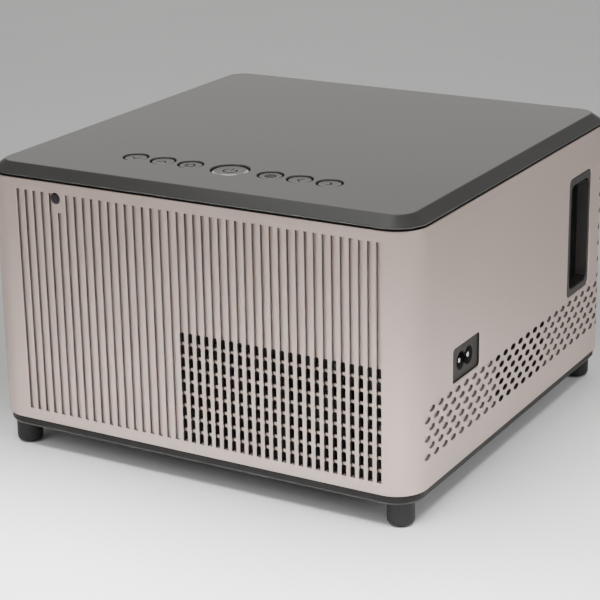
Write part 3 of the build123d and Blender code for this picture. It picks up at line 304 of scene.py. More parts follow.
# %% Helpers: cut, join shapes, paint chosen faces
def cut(obj, cutter_points, cutter_faces):
    """Takes the cutter's volume out of the piece and applies it."""
    cutter = piece("cutter", cutter_points, cutter_faces, None, None)
    cutter.modifiers.clear()
    step = obj.modifiers.new("cut", "BOOLEAN")
    step.operation = "DIFFERENCE"
    step.object = cutter
    step.solver = "MANIFOLD"
    obj.modifiers.move(len(obj.modifiers) - 1, 0)
    weigh = obj.modifiers.get("flat_first")
    if weigh:
        obj.modifiers.remove(weigh)
    ready = obj.evaluated_get(bpy.context.evaluated_depsgraph_get())
    result = bpy.data.meshes.new_from_object(ready)
    obj.modifiers.clear()
    old = obj.data
    obj.data = result
    bpy.data.meshes.remove(old)
    bpy.data.objects.remove(cutter)
    soften(obj)


def joined(shapes):
    """Several (points, faces) as one."""
    points, faces = [], []
    for more_points, more_faces in shapes:
        start = len(points)
        points += list(more_points)
        faces += [tuple(index + start for index in face) for face in more_faces]
    return points, faces


def sunk(outline_at, levels):
    """A cutter from (depth, growth) levels; outline_at(depth, growth) gives the ring there."""
    return stacked([outline_at(depth, growth) for depth, growth in levels])


def paint(obj, material, chosen):
    """Gives the faces that pass the test one more material. It gets centre (mm) and normal."""
    obj.data.materials.append(material)
    index = len(obj.data.materials) - 1
    marked = 0
    for face in obj.data.polygons:
        if chosen(face.center / MM, face.normal):
            face.material_index = index
            marked += 1
    return marked


# %% [markdown]
# ## The outer shell
# The shell is one wrap-around moulding. Its look comes from three cuts: upright channels with
# softened edges on the rear, a lattice of openings where the channels run close together, and a
# band of staggered oval dimples on the sides. A painted-on pattern would look flat from the
# side, so every channel and dimple is really cut, each with a small chamfer that catches light.
# Hundreds of cutters are joined into one, because one cut is far quicker than many.

# %% Shell body
HALF = 108.0
CORNER = 14.4
WALL = 2.5
SHELL_LOW, SHELL_HIGH = 15.5, 130.5


def around(inset, z, steps=14):
    """The case's outline, moved in and set at a height."""
    outline = rounded(2 * (HALF - inset), 2 * (HALF - inset), max(CORNER - inset, 0.5), steps)
    return [(x, y, z) for x, y in outline]


edge, half_edge = 0.5, 0.15
rings = [around(edge, SHELL_LOW), around(half_edge, SHELL_LOW + half_edge),
         around(0, SHELL_LOW + edge)]
rings += [around(0, SHELL_HIGH - edge), around(half_edge, SHELL_HIGH - half_edge),
          around(edge, SHELL_HIGH)]
rings += [around(WALL, SHELL_HIGH), around(WALL, SHELL_LOW)]
points, faces = stacked(rings + [rings[0]], closed=False)
points = points[: len(points) - len(rings[0])]
faces = [tuple(index % len(points) for index in face) for face in faces]
shell = piece("shell", points, faces, CASE, shell_paint)
print("shell", len(shell.data.vertices), "points")


# %% Upright channels of the rear
def box_at(place, low_u, high_u, low_v, high_v, levels):
    """A flared block: place maps (along, up, out) into the case, levels are (out, growth)."""
    def ring(out, grow):
        return [place(low_u - grow, low_v - grow, out), place(high_u + grow, low_v - grow, out),
                place(high_u + grow, high_v + grow, out), place(low_u - grow, high_v + grow, out)]
    return sunk(ring, levels)


def on_rear(u, v, out):
    return (u, -HALF - out, v)


def on_right(u, v, out):
    return (HALF + out, u, v)


def on_left(u, v, out):
    return (-HALF - out, -u, v)


def on_front(u, v, out):
    return (-u, HALF + out, v)


channel_width, channel_depth = 2.0, 1.55
channel_low, channel_high, top_below_receiver = 20.8, 125.5, 117.0
wide_pitch, close_pitch = 4.44, 4.16
wide_places = [-87.4 + wide_pitch * n for n in range(19)]
close_places = [-3.04 + close_pitch * n for n in range(24)]
receiver_x, receiver_z = -67.2, 123.5
channel_levels = [(-channel_depth, 0.0), (-0.28, 0.0), (0.3, 0.58)]
channels = []
for x in wide_places + close_places:
    top = top_below_receiver if abs(x - receiver_x) < wide_pitch / 2 else channel_high
    half = channel_width / 2
    channels.append(box_at(on_rear, x - half, x + half, channel_low, top, channel_levels))
cut(shell, *joined(channels))
print("channels:", len(channels))

# %% Openings of the vent lattice
holes = []
hole_levels = [(-WALL - 1, 0.0), (-0.25, 0.0), (0.3, 0.4)]
hole_half_tall, hole_pitch, hole_rows = 2.2, 5.75, 9
for x in close_places:
    for row in range(hole_rows):
        z = channel_low + hole_half_tall + hole_pitch * row
        half = channel_width / 2 + 0.15
        holes.append(box_at(on_rear, x - half, x + half, z - hole_half_tall, z + hole_half_tall,
                            hole_levels))
cut(shell, *joined(holes))
print("lattice openings:", len(holes))


# %% Places along the wall: straight stretches and round corners in one measure
straight = 2 * (HALF - CORNER)
bend = CORNER * math.pi / 2


def on_wall(s, v, out):
    """s runs anticlockwise round the case from the rear end of the right side."""
    sides = [on_right, on_front, on_left, on_rear]
    centres = [(1, 1), (-1, 1), (-1, -1), (1, -1)]
    s = s % (4 * (straight + bend))
    side = int(s // (straight + bend))
    rest = s - side * (straight + bend)
    if rest <= straight:
        return sides[side](rest - straight / 2, v, out)
    angle = (rest - straight) / CORNER + side * math.pi / 2
    cx, cy = (value * (HALF - CORNER) for value in centres[side])
    return (cx + (CORNER + out) * math.cos(angle), cy + (CORNER + out) * math.sin(angle), v)


def oval_sink(s, v, half_long, half_tall, levels, sides=16):
    """An oval cutter into the wall at s, square to the wall there."""
    middle = Vector(on_wall(s, v, 0.0))
    outwards = (Vector(on_wall(s, v, 1.0)) - middle).normalized()
    along = Vector((0, 0, 1)).cross(outwards)
    def ring(out, grow):
        spots = []
        for n in range(sides):
            angle = 2 * math.pi * n / sides
            side = along * (half_long + grow) * math.cos(angle)
            side += Vector((0, 0, half_tall + grow)) * math.sin(angle)
            spots.append(middle + outwards * out + side)
        return spots
    return sunk(ring, levels)


# %% Dimples: a band on both sides, a field on the front, open holes before the speaker
dimple_long, dimple_tall, dimple_pitch, dimple_low = 2.75, 1.4, 8.27, 30.0
band_rows, field_rows, columns = 6, 21, 75
step = dimple_pitch / 2
blind_levels = [(-1.45, -0.1), (-1.35, 0.0), (-0.1, 0.0), (0.3, 0.4)]
open_levels = [(-WALL - 1, 0.0), (-0.1, 0.0), (0.3, 0.4)]
first_s, last_s = straight / 2 - 93.25, 3 * straight + 2 * bend
speaker_y, speaker_half = 1.86, 25
lens_x, lens_z, lens_clear = 28.0, 60.0, 44.0
drawer_clear_z = 90
front_start, front_end = straight + bend, 2 * straight + bend
dimples = []
opened = 0
for row in range(field_rows):
    for column in range(-1, columns):
        s = first_s + dimple_pitch * column + (step if row % 2 else 0.0)
        z = dimple_low + step * row
        x, y, _ = on_wall(s, z, 0.0)
        on_sides = row < band_rows
        on_field = front_start - bend * 0.9 <= s <= front_end + bend * 0.9
        if s < first_s - 0.1 or s > last_s or not (on_sides or on_field):
            continue
        if y > HALF - 1 and math.hypot(x - lens_x, z - lens_z) < lens_clear:
            continue
        if x < -HALF + 3 and z > drawer_clear_z:
            continue
        is_open = x > HALF - 1 and abs(y - speaker_y) < speaker_half and on_sides
        opened += is_open
        levels = open_levels if is_open else blind_levels
        dimples.append(oval_sink(s, z, dimple_long, dimple_tall, levels))
cut(shell, *joined(dimples))
print("dimples:", len(dimples), "of them open:", opened)


# %% Openings for the receiver, the sockets, the drawer and the lens
def plate_sink(place, u, v, width, tall, radius, levels, steps=6):
    """A cutter with round corners through a wall."""
    def ring(out, grow):
        outline = rounded(width + 2 * grow, tall + 2 * grow, max(radius + grow, 0.2), steps)
        return [place(u + a, v + b, out) for a, b in outline]
    return sunk(ring, levels)


def round_plate(place, u, v, radius, levels, sides=64):
    """A round cutter or block on a flat wall."""
    def ring(out, grow):
        angles = [2 * math.pi * n / sides for n in range(sides)]
        wide = radius + grow
        return [place(u + wide * math.cos(angle), v + wide * math.sin(angle), out)
                for angle in angles]
    return sunk(ring, levels)


through = [(-WALL - 1, 0.0), (-0.35, 0.0), (0.3, 0.65)]
inlet_y, inlet_z = -56.1, 61.9
bay_y, bay_z = 69.75, 83.25
windows = [round_plate(on_rear, receiver_x, receiver_z, 2.6, through, 32)]
windows.append(plate_sink(on_right, inlet_y, inlet_z, 26.7, 15.5, 1.6, through))
windows.append(plate_sink(on_right, bay_y, bay_z, 26.9, 58.5, 3.0, through))
windows.append(plate_sink(on_left, 0.0, 106.35, 130.5, 14.1, 0.6, through, 2))
windows.append(round_plate(on_front, -lens_x, lens_z, 37.2, through, 96))
cut(shell, *joined(windows))
print("openings:", len(windows))


# %% Painted shade on the walls inside channels, holes and openings
def depth_in_wall(point):
    """How far a point lies inside the case's outline."""
    x, y = abs(point.x), abs(point.y)
    if min(x, y) > HALF - CORNER:
        return CORNER - math.hypot(x - HALF + CORNER, y - HALF + CORNER)
    return HALF - max(x, y)


def sideways(point, normal):
    """True for a face that stands across the wall, as the side of a channel or hole does."""
    x, y = abs(point.x), abs(point.y)
    if min(x, y) > HALF - CORNER:
        centre_x = math.copysign(HALF - CORNER, point.x)
        centre_y = math.copysign(HALF - CORNER, point.y)
        outwards = Vector((point.x - centre_x, point.y - centre_y, 0))
    else:
        outwards = Vector((1, 0, 0)) if x > y else Vector((0, 1, 0))
    return abs(normal.dot(outwards.normalized())) < 0.5


def shaded_recess_walls(c, normal):
    """Walls of channels and dimples, which get painted shade."""
    within = SHELL_LOW + 1 < c.z < SHELL_HIGH - 1
    return depth_in_wall(c) > 0.3 and within and sideways(c, normal)


def shade_in_holes(c, normal):
    """Inner faces and walls of holes are made black as painted shade; floors of channels and
    dimples keep the paint.
    """
    depth = depth_in_wall(c)
    return depth > channel_depth + 0.15 or (depth > 1.25 and sideways(c, normal))


# The walls of channels and dimples get the darker tone, which is painted shade.
thin = paint(shell, painted_recess_shade, shaded_recess_walls)
# Inner faces and walls of holes get the black, which is painted shade.
holes_shaded = paint(shell, deep_black, shade_in_holes)
print("faces with thin paint:", thin, "bare inner faces:", holes_shaded)
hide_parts("outer_shell")
print("shell faces:", len(shell.data.polygons))

# %% [markdown]
# ## The lid
# The lid is a thin semi-gloss plate with a wide bevel. It stands a millimetre clear of the shell,
# and that gap is the dark line seen all round. A few outlines, each set in a little more than the
# last, make the whole skin. The key wells are cut with a small rounded rim, because a real edge is
# never sharp and the rim is what draws the fine ring round each key.

# %% Lid with its seven wells
LID_TOP = 136.0
LID_SHARP = 20.0
lid_levels = [(4.8, 133.5), (4.8, 127.5), (2.8, 127.5), (2.8, 131.5), (0.4, 131.5), (0.1, 131.6),
              (0.0, 131.9), (0.05, 132.15), (5.45, 135.75), (5.8, 135.92), (6.4, LID_TOP)]
lid_rings = [around(inset, z) for inset, z in lid_levels]
lid = piece("lid", *stacked(lid_rings), CASE, lid_black, LID_SHARP)


def on_top(u, v, out):
    return (u, v, LID_TOP + out)


key_y, key_gap = -71.5, 0.7
key_places = {"down": -48.4, "up": -33.85, "home": -19.3, "power": 1.1, "settings": 21.5,
              "left": 36.05, "right": 50.6}
key_radius = {name: 8.1 if name == "power" else 5.2 for name in key_places}
well_levels = [(-4.0, 0.0), (-0.55, 0.0), (-0.3, 0.06), (-0.12, 0.2), (0.0, 0.48), (0.2, 0.9)]
wells = [round_plate(on_top, x, key_y, key_radius[name] + key_gap, well_levels)
         for name, x in key_places.items()]
cut(lid, *joined(wells))
soften(lid, LID_SHARP)
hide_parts("top_cover")
print("lid faces:", len(lid.data.polygons))

# %% [markdown]
# ## The keys
# Each key is a round cap with a flange under the lid that keeps it in and a short stem over its
# switch. The caps are very slightly dished, so a fingertip finds them. The larger power key has a
# polished ring on its edge. The signs are printed, so they are thin ribbons laid in the dish.

# %% Helper: a printed stroke of even width with mitred corners
def ribbon(path, width, low, high, closed=False):
    """A flat band along (u, v) points, between two heights."""
    count = len(path)
    sides = []
    for n in range(count):
        here = Vector(path[n])
        before = Vector(path[n - 1]) if n or closed else None
        after = Vector(path[(n + 1) % count]) if n < count - 1 or closed else None
        ahead = (after - here).normalized() if after else (here - before).normalized()
        back = (here - before).normalized() if before else ahead
        normal = (Vector((-ahead.y, ahead.x)) + Vector((-back.y, back.x))).normalized()
        stretch = min(1.0 / max(normal.dot(Vector((-ahead.y, ahead.x))), 0.3), 2.5)
        sides.append((here + normal * stretch * width / 2, here - normal * stretch * width / 2))
    rings = [[(*left, high), (*right, high), (*right, low), (*left, low)] for left, right in sides]
    points, faces = stacked(rings, closed=not closed)
    if closed:
        last = len(points) - 4
        faces += [(last + n, last + (n + 1) % 4, (n + 1) % 4, n) for n in range(4)]
    return points, faces


def arc(radius, start, end, steps=20, middle=(0.0, 0.0)):
    """Points along an arc, angles in degrees."""
    angles = [math.radians(start + (end - start) * n / steps) for n in range(steps + 1)]
    return [(middle[0] + radius * math.cos(angle), middle[1] + radius * math.sin(angle))
            for angle in angles]


def ring_of(radius, count, turn=0.0):
    """Points of a closed ring."""
    return arc(radius, turn, turn + 360.0, count)[:-1]


# %% The signs, in millimetres about each key's middle
signs = {
    "down": [([(-2.0, 1.0), (0.0, -1.0), (2.0, 1.0)], False)],
    "up": [([(-2.0, -1.0), (0.0, 1.0), (2.0, -1.0)], False)],
    "left": [([(1.0, 2.0), (-1.0, 0.0), (1.0, -2.0)], False)],
    "right": [([(-1.0, 2.0), (1.0, 0.0), (-1.0, -2.0)], False)],
    "home": [([(-2.2, -0.1), (0.0, 2.0), (2.2, -0.1)], False),
             ([(-1.5, 0.3), (-1.5, -1.9), (1.5, -1.9), (1.5, 0.3)], False)],
    "power": [(arc(2.6, 125.0, 415.0), False), ([(0.0, 3.2), (0.0, 0.4)], False)],
    "settings": [(ring_of(1.75, 28), True), (ring_of(0.75, 18), True)]
    + [([(1.85 * math.cos(a), 1.85 * math.sin(a)), (2.5 * math.cos(a), 2.5 * math.sin(a))], False)
       for a in (math.radians(45 * n) for n in range(8))],
}
print("signs:", len(signs))

# %% Key caps with their signs
key_face, sign_size, stroke_width = -0.5, 1.15, 0.55
for name, x in key_places.items():
    radius = key_radius[name]
    body = name + "_key"
    edge_width = 0.9 if name == "power" else 0.35
    inner = radius - edge_width
    key_levels = [(-5.25, 2.4), (-3.8, 2.4), (-3.8, radius + 1), (-2.8, radius + 1), (-2.8, radius),
                  (key_face - edge_width * 0.35, radius), (key_face + 0.12, inner),
                  (key_face + 0.1, inner - 0.12), (key_face + 0.03, inner - 0.9),
                  (key_face, radius * 0.62), (key_face, 0.5)]
    shape = round_plate(on_top, x, key_y, 0.0, key_levels)
    cap = piece(body + "_cap", *shape, body, lid_black, 24.0)
    if name == "power":
        cap.data.materials.append(bright_steel)
        for face in cap.data.polygons:
            out = face.center.z / MM - LID_TOP
            wide = math.hypot(face.center.x / MM - x, face.center.y / MM - key_y)
            if out > -1.2 and inner < wide < radius - 0.02:
                face.material_index = 1
    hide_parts(body)
    ink_low, ink_high = LID_TOP + key_face - 0.05, LID_TOP + key_face + 0.02
    strokes = [ribbon([(x + sign_size * u, key_y + sign_size * v) for u, v in path], stroke_width,
                      ink_low, ink_high, ends) for path, ends in signs[name]]
    sign = piece(body + "_sign", *joined(strokes), body, symbol_ink)
print("keys:", len(key_places))

# %% [markdown]
# ## The base and the feet
# The base is a dark tray that closes the shell from below. It is set in a little, so from the side
# it reads as a thin dark band, and its lower edge is bevelled. The bevel's lighter tone is a
# painted highlight. Four rubber studs carry the weight.
# Air comes in through the slots, and four screws sit deep in their wells.

# %% Base plate with slots and screw wells
BASE_LOW = 11.0


def on_bottom(u, v, out):
    return (u, v, BASE_LOW - out)


def sunk_to(depth):
    """Levels of an opening in the base with a small chamfer."""
    return [(-depth, 0.0), (-0.3, 0.0), (0.2, 0.5)]


base_levels = [(4.8, 13.5), (4.8, 19.0), (2.8, 19.0), (2.8, SHELL_LOW), (1.0, SHELL_LOW),
               (1.0, 12.3), (1.1, 12.1), (1.9, BASE_LOW + 0.1), (2.2, BASE_LOW)]
base = piece("base", *stacked([around(inset, z) for inset, z in base_levels]), CASE, base_black)
slot_x, slot_y, slot_pitch = 44.8, -75.4, 10.0
screw_places = [(sx * 101.0, sy * 80.0) for sx in (-1, 1) for sy in (-1, 1)]
openings = [plate_sink(on_bottom, slot_x + slot_pitch * n, slot_y, 3.0, 26.0, 1.4, sunk_to(3.5))
            for n in range(-3, 4)]
openings += [round_plate(on_bottom, x, y, 3.1, sunk_to(1.9), 32) for x, y in screw_places]
openings.append(round_plate(on_bottom, 0.0, 0.0, 5.05, sunk_to(2.6), 40))
cut(base, *joined(openings))
# The lower bevel gets the lighter tone, which is painted highlight.
edge_faces = paint(base, base_edge_highlight, lambda c, normal: BASE_LOW + 0.05 < c.z < 12.25
                   and depth_in_wall(c) < 2.4)
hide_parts("base_plate")
print("base openings:", len(openings), "edge faces:", edge_faces)


# %% Screws with a cross recess
def screw(name, place, u, v, head, body, material):
    """A domed screw head, its face at out = 0, with a cross cut in it."""
    levels = [(-1.4, head * 0.5), (-1.0, head), (-0.35, head), (-0.08, head * 0.8),
              (0.0, head * 0.45)]
    made = piece(name, *round_plate(place, u, v, 0.0, levels, 28), body, material)
    arm, half = head * 0.62, head * 0.13
    recess = [(-0.8, -half * 0.4), (0.2, 0.0)]
    cut(made, *box_at(place, u - arm, u + arm, v - half, v + half, recess))
    cut(made, *box_at(place, u - half, u + half, v - arm, v + arm, recess))
    return made


def in_well(u, v, out):
    return on_bottom(u, v, out - 0.5)


for n, (x, y) in enumerate(screw_places):
    head = screw("base_screw_%d" % n, in_well, x, y, 2.7, CASE, bright_steel)
print("screws:", len(screw_places))

# %% Feet and the tripod insert
foot_profile = [(0.02, 0.0), (3.6, 0.0), (4.6, 0.15), (5.4, 0.6), (5.85, 1.4), (6.0, 2.6),
                (6.0, BASE_LOW), (0.02, BASE_LOW)]
foot_at = 97.7
feet = []
for x in (-foot_at, foot_at):
    for y in (-foot_at, foot_at):
        feet.append(turned(foot_profile, 48, lambda u, v, h, x=x, y=y: (x + u, y + v, h)))
rubber_feet = piece("rubber_feet", *joined(feet), CASE, foot_rubber, 40.0)
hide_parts("feet")
thread = [(5.0, 11.05), (5.0, 21.0), (3.2, 21.0)]
groove_pitch = 0.72
for groove in range(12):
    down = groove_pitch * groove
    thread += [(3.2, 20.5 - down), (3.55, 20.14 - down)]
thread += [(3.2, 11.6), (3.7, 11.05)]
insert = piece("tripod_brass", *turned(thread, 40, lambda u, v, h: (u, v, h)), CASE, brass, 30.0)
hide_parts("tripod_insert")
print("feet:", len(feet))

# %% [markdown]
# ## The rear window and the mains inlet
# The little round window in the rear is dark but clear to infrared, and glossy. The mains inlet is
# a flush plate with a figure-8 well. The well's outline is two arcs that meet a narrower waist. Its
# inside is black plastic, so the faces below the rim get a second material; carrying that black up
# to just under the plate's face is painted shade.

# %% Receiver window
window_levels = [(-3.8, 3.55), (-2.85, 3.55), (-2.85, 2.5), (-0.5, 2.5), (-0.32, 2.35),
                 (-0.22, 1.9), (-0.15, 1.0)]
window_shape = round_plate(on_rear, receiver_x, receiver_z, 0.0, window_levels, 48)
window = piece("receiver_lens", *window_shape, CASE, dark_window)
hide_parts("receiver_window")
print("receiver window faces:", len(window.data.polygons))


# %% Inlet plate, well and pins
def block(name, place, u, v, width, tall, radius, levels, material, sharp=32.0):
    """A plate with round corners from (out, growth) levels."""
    return piece(name, *plate_sink(place, u, v, width, tall, radius, levels), CASE, material, sharp)


inlet = block("inlet_plate", on_right, inlet_y, inlet_z, 26.3, 15.1, 1.6,
              [(-15.0, -0.6), (-4.8, -0.6), (-4.8, 1.4), (-2.8, 1.4), (-2.8, 0.0), (-1.15, 0.0),
               (-1.0, -0.15)], plate_grey)
lobe, spread, waist = 4.05, 3.85, 2.3
open_angle = 180.0 - math.degrees(math.asin(waist / lobe))


def figure_eight(grow):
    right_lobe = arc(lobe + grow, -open_angle, open_angle, 26, (spread, 0.0))
    left_lobe = arc(lobe + grow, 180.0 - open_angle, 180.0 + open_angle, 26, (-spread, 0.0))
    return right_lobe + left_lobe


well = [[on_right(inlet_y + u, inlet_z + v, out) for u, v in figure_eight(grow)]
        for out, grow in [(-12.0, 0.0), (-1.3, 0.0), (-1.1, 0.1), (-0.6, 0.4)]]
cut(inlet, *stacked(well))
# The well's walls are black plastic; the black reaching up to just under the plate's face is
# painted shade.
dark_faces = paint(inlet, deep_black, lambda c, normal: c.x < HALF - 1.02
                   and abs(c.y - inlet_y) < 8.6 and abs(c.z - inlet_z) < 4.6)
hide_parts("mains_inlet")
pin_levels = [(-15.0, 1.2), (-1.75, 1.2), (-1.5, 1.08), (-1.4, 0.75)]
pins = []
for offset in (-4.3, 4.3):
    pins.append(round_plate(on_right, inlet_y + offset, inlet_z, 0.0, pin_levels, 24))
inlet_pins = piece("inlet_contact_pins", *joined(pins), CASE, bright_steel)
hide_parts("inlet_pins")
print("inlet well faces:", dark_faces)

# %% [markdown]
# ## The socket bay
# A tall frame with a chamfered mouth leads into a shallow tray. The sockets stand along the middle
# of its floor, and from where the photograph was taken the near wall hides almost all of them. One
# moulding, four finishes: the frame is satin, the floor is made blackest as painted shade, the far
# wall is made a shade lighter as painted light, and the smooth lower corner can catch a bright
# line.
# Metal sockets are folded sheet: thin sleeves with a tongue inside.

# %% Bay frame and tray
BAY_DEPTH = 6.5
mouth_y, mouth_z, mouth_wide, mouth_tall = 70.35, 82.95, 21.9, 51.1
bay = block("bay_frame", on_right, bay_y, bay_z, 26.5, 58.1, 3.0,
            [(-BAY_DEPTH - 2.0, -1.0), (-4.8, -1.0), (-4.8, 1.4), (-2.8, 1.4), (-2.8, 0.0),
             (-0.45, 0.0), (-0.2, -0.25)], frame_grey)
cut(bay, *plate_sink(on_right, mouth_y, mouth_z, mouth_wide, mouth_tall, 3.0,
                     [(-BAY_DEPTH, -0.5), (-BAY_DEPTH + 0.5, 0.0), (-0.9, 0.0), (-0.5, 0.1),
                      (0.4, 0.9)], 10))
SOCKET_FACE = -BAY_DEPTH + 1.0
socket_places = {"usb": (66.8, 13.2), "hdmi": (82.3, 15.0), "video_jack": (95.0, 7.6),
                 "sound_jack": (104.0, 7.6)}
slit_levels = [(-BAY_DEPTH - 3.0, 0.0), (-BAY_DEPTH + 0.5, 0.0)]
for z, tall in socket_places.values():
    cut(bay, *plate_sink(on_right, bay_y, z, 6.1, tall + 0.4, 0.4, slit_levels, 2))
print("bay frame faces:", len(bay.data.polygons))


# %% Finishes inside the bay
def in_mouth(c):
    return c.x < HALF - 0.85 and abs(c.y - mouth_y) < 11.3 and abs(c.z - mouth_z) < 25.7


# The inside of the mouth is made darkest as painted shade, and the far wall lighter as painted
# light.
bay_faces = paint(bay, bay_floor_shade, lambda c, normal: in_mouth(c))
bay_faces += paint(bay, bay_satin, lambda c, normal: in_mouth(c) and c.z < mouth_z - 20
                   and abs(normal.x) < 0.4)
bay_faces += paint(bay, bay_far_wall_light, lambda c, normal: in_mouth(c) and normal.y < -0.9)
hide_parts("socket_bay")
print("tray faces:", bay_faces)

# %% Sockets in the floor of the bay
def from_face(*levels):
    """Levels counted from the sockets' face."""
    return [(SOCKET_FACE + out, grow) for out, grow in levels]


body_levels = from_face((-15.0, 0.0), (-0.15, 0.0), (0.0, -0.15))
bore_levels = from_face((-12.0, 0.0), (-0.3, 0.0), (0.2, 0.5))
sleeve_levels = from_face((-13.6, 0.0), (-0.2, 0.0), (0.2, 0.3))
tongue_levels = from_face((-14.0, 0.0), (-1.2, 0.0), (-1.0, -0.2))
ring_profile = [(1.9, -0.6), (2.45, -0.6), (2.45, 0.12), (2.3, 0.25), (2.05, 0.25), (1.9, 0.1)]
for name, (z, tall) in socket_places.items():
    jack = name.endswith("jack")
    socket = block(name + "_body", on_right, bay_y, z, 5.7, tall, 0.5, body_levels,
                   deep_black if jack else dark_nickel)
    if jack:
        cut(socket, *round_plate(on_right, bay_y, z, 1.8, bore_levels, 32))
        ring_shape = turned(ring_profile, 32,
                            lambda u, v, h, z=z: on_right(bay_y + u, z + v, SOCKET_FACE + h))
        ring = piece(name + "_ring", *ring_shape, CASE, brass)
    else:
        cut(socket, *plate_sink(on_right, bay_y, z, 4.7, tall - 1.0, 0.4, sleeve_levels, 3))
        tongue = block(name + "_tongue", on_right, bay_y, z, 1.8, tall - 5.6, 0.2, tongue_levels,
                       deep_black)
    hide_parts(name + "_socket")
print("sockets:", len(socket_places))

# %% [markdown]
# ## The projection lens
# The lens looks out of the front. Everything in it is turned about one axis, so each piece is a
# closed profile of radius and depth: a gloss bezel flush with the shell, a rubber focus ring with
# fine grip ribs, a matt barrel with light baffles, and two glasses with spherical faces. Only the
# ring's finger lug breaks the symmetry, and it shows how far the ring has turned.

# %% Helper: pieces turned about the lens axis
def on_lens(u, v, h):
    return (lens_x + u, h, lens_z + v)


def lens_piece(name, profile, body, material, sides=96, sharp=30.0):
    made = piece(name, *turned(profile, sides, on_lens), body, material, sharp)
    return made


bezel_profile = [(34.0, 98.0), (36.0, 98.0), (36.0, 103.2), (40.0, 103.2), (40.0, 105.2),
                 (37.0, 105.2), (37.0, 107.55), (36.85, 107.85), (36.55, 108.0), (35.9, 107.95),
                 (34.25, 106.3), (34.0, 105.9)]
bezel = lens_piece("lens_bezel_ring", bezel_profile, CASE, lid_black)
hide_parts("lens_bezel")
print("bezel faces:", len(bezel.data.polygons))

# %% Focus ring with grip ribs and its lug
ribs_count, rib_radius, ring_face = 60, 31.6, 104.0
grip_profile = [(32.1, 80.0), (33.2, 80.0), (33.45, 80.25), (33.45, 103.2), (33.0, 103.85),
                (32.4, ring_face), (31.0, 103.8), (29.75, 102.9), (29.4, 102.2), (29.4, 90.8),
                (32.1, 90.8)]
focus = lens_piece("focus_grip", grip_profile, "focus_ring", foot_rubber, 120)
grip_cuts = []
for n in range(ribs_count):
    angle = 2 * math.pi * n / ribs_count

    def beside(u, v, out, angle=angle):
        radial, side = rib_radius + v, u
        return on_lens(radial * math.cos(angle) - side * math.sin(angle),
                       radial * math.sin(angle) + side * math.cos(angle), ring_face + out)

    grip_cuts.append(box_at(beside, -0.55, 0.55, -0.75, 0.75, [(-0.75, -0.3), (0.2, 0.1)]))
cut(focus, *joined(grip_cuts))
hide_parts("focus_ring")


def at_ring(u, v, out):
    return on_lens(u, 30.5 + v, ring_face + out)


lug_shape = plate_sink(at_ring, 0.0, 0.0, 6.0, 3.0, 0.8,
                       [(-0.4, 0.0), (1.6, 0.0), (1.88, -0.12), (2.0, -0.4)])
lug = piece("focus_lug", *lug_shape, "focus_ring", foot_rubber)
print("grip cuts:", len(grip_cuts))

# %% Barrel with baffles and two glasses
barrel_profile = [(25.95, 62.0), (29.0, 62.0), (29.0, 99.3), (28.8, 99.8), (28.3, 100.0),
                  (27.4, 99.95), (25.2, 98.6), (25.0, 98.3), (25.0, 98.0), (25.95, 97.95),
                  (25.95, 91.0)]
baffle_pitch = 2.4
for n in range(8):
    y = 90.0 - baffle_pitch * n
    barrel_profile += [(24.6, y), (25.95, y - 0.7), (25.95, y - 1.6)]
barrel = lens_piece("barrel_tube", barrel_profile, "lens_barrel", deep_black)
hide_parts("lens_barrel")


def glass_profile(back, radius, rim, dome, steps=10):
    """A lens with a flat back and a spherical front."""
    sphere = (radius ** 2 + dome ** 2) / (2 * dome)
    profile = [(0.02, back), (radius, back), (radius, back + rim)]
    for n in range(steps + 1):
        r = radius * (1 - n / steps) * 0.995 + 0.02
        profile.append((r, back + rim + math.sqrt(sphere ** 2 - r ** 2) - (sphere - dome)))
    return profile


for name, back in (("front_glass", 91.2), ("rear_glass", 62.3)):
    profile = glass_profile(back, 25.7, 3.0, 3.45)
    glass = lens_piece(name + "_element", profile, "lens_barrel", lens_glass)
    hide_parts(name)
print("lens pieces: bezel, ring, lug, barrel and two glasses")

# %% [markdown]
# ## The disc drawer
# The drawer has a gloss front that lies flush in the side wall, with a small eject key in it. The
# tray behind it has a shallow round well for the disc and a smaller one inside it for small discs.
# A slanted pocket holds the mechanism: motor and hub at the disc's centre, and a pickup sled that
# runs outwards on two rods, moved by a fine lead screw.

# %% Drawer front and eject key
DRAWER = "drawer"
drawer_z, eject_at = 106.35, -44.0
panel_levels = [(-3.5, 0.0), (-0.4, 0.0), (-0.12, -0.12), (0.0, -0.4)]
panel_shape = plate_sink(on_left, 0.0, drawer_z, 129.5, 13.1, 1.0, panel_levels)
front = piece("drawer_panel", *panel_shape, DRAWER, lid_black)
cut(front, *plate_sink(on_left, eject_at, drawer_z, 9.4, 3.4, 0.7,
                       [(-4.0, 0.0), (-0.25, 0.0), (0.15, 0.4)], 4))
cut(front, *plate_sink(on_left, eject_at, drawer_z, 11.4, 5.4, 0.3, [(-4.0, 0.0), (-1.8, 0.0)], 2))
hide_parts("drawer_front")
cap_levels = [(-2.9, 1.0), (-2.1, 1.0), (-2.1, 0.0), (-0.35, 0.0), (-0.08, -0.12), (0.0, -0.4)]
cap_shape = plate_sink(on_left, eject_at, drawer_z, 9.0, 3.0, 0.6, cap_levels)
eject = piece("eject_cap", *cap_shape, "eject_key", lid_black)
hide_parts("eject_key")
print("drawer front faces:", len(front.data.polygons))

# %% Places on the tray and along the slanted mechanism
TRAY_TOP = 110.8
disc_x = -43.0
slant = math.radians(225.0)


def on_tray(u, v, out):
    return (u, v, TRAY_TOP + out)


def on_slant(u, v, out):
    """Along and across the mechanism's direction, above the tray's top."""
    return (disc_x + u * math.cos(slant) - v * math.sin(slant),
            u * math.sin(slant) + v * math.cos(slant), TRAY_TOP + out)


print("mechanism turned by", round(math.degrees(slant)), "degrees")

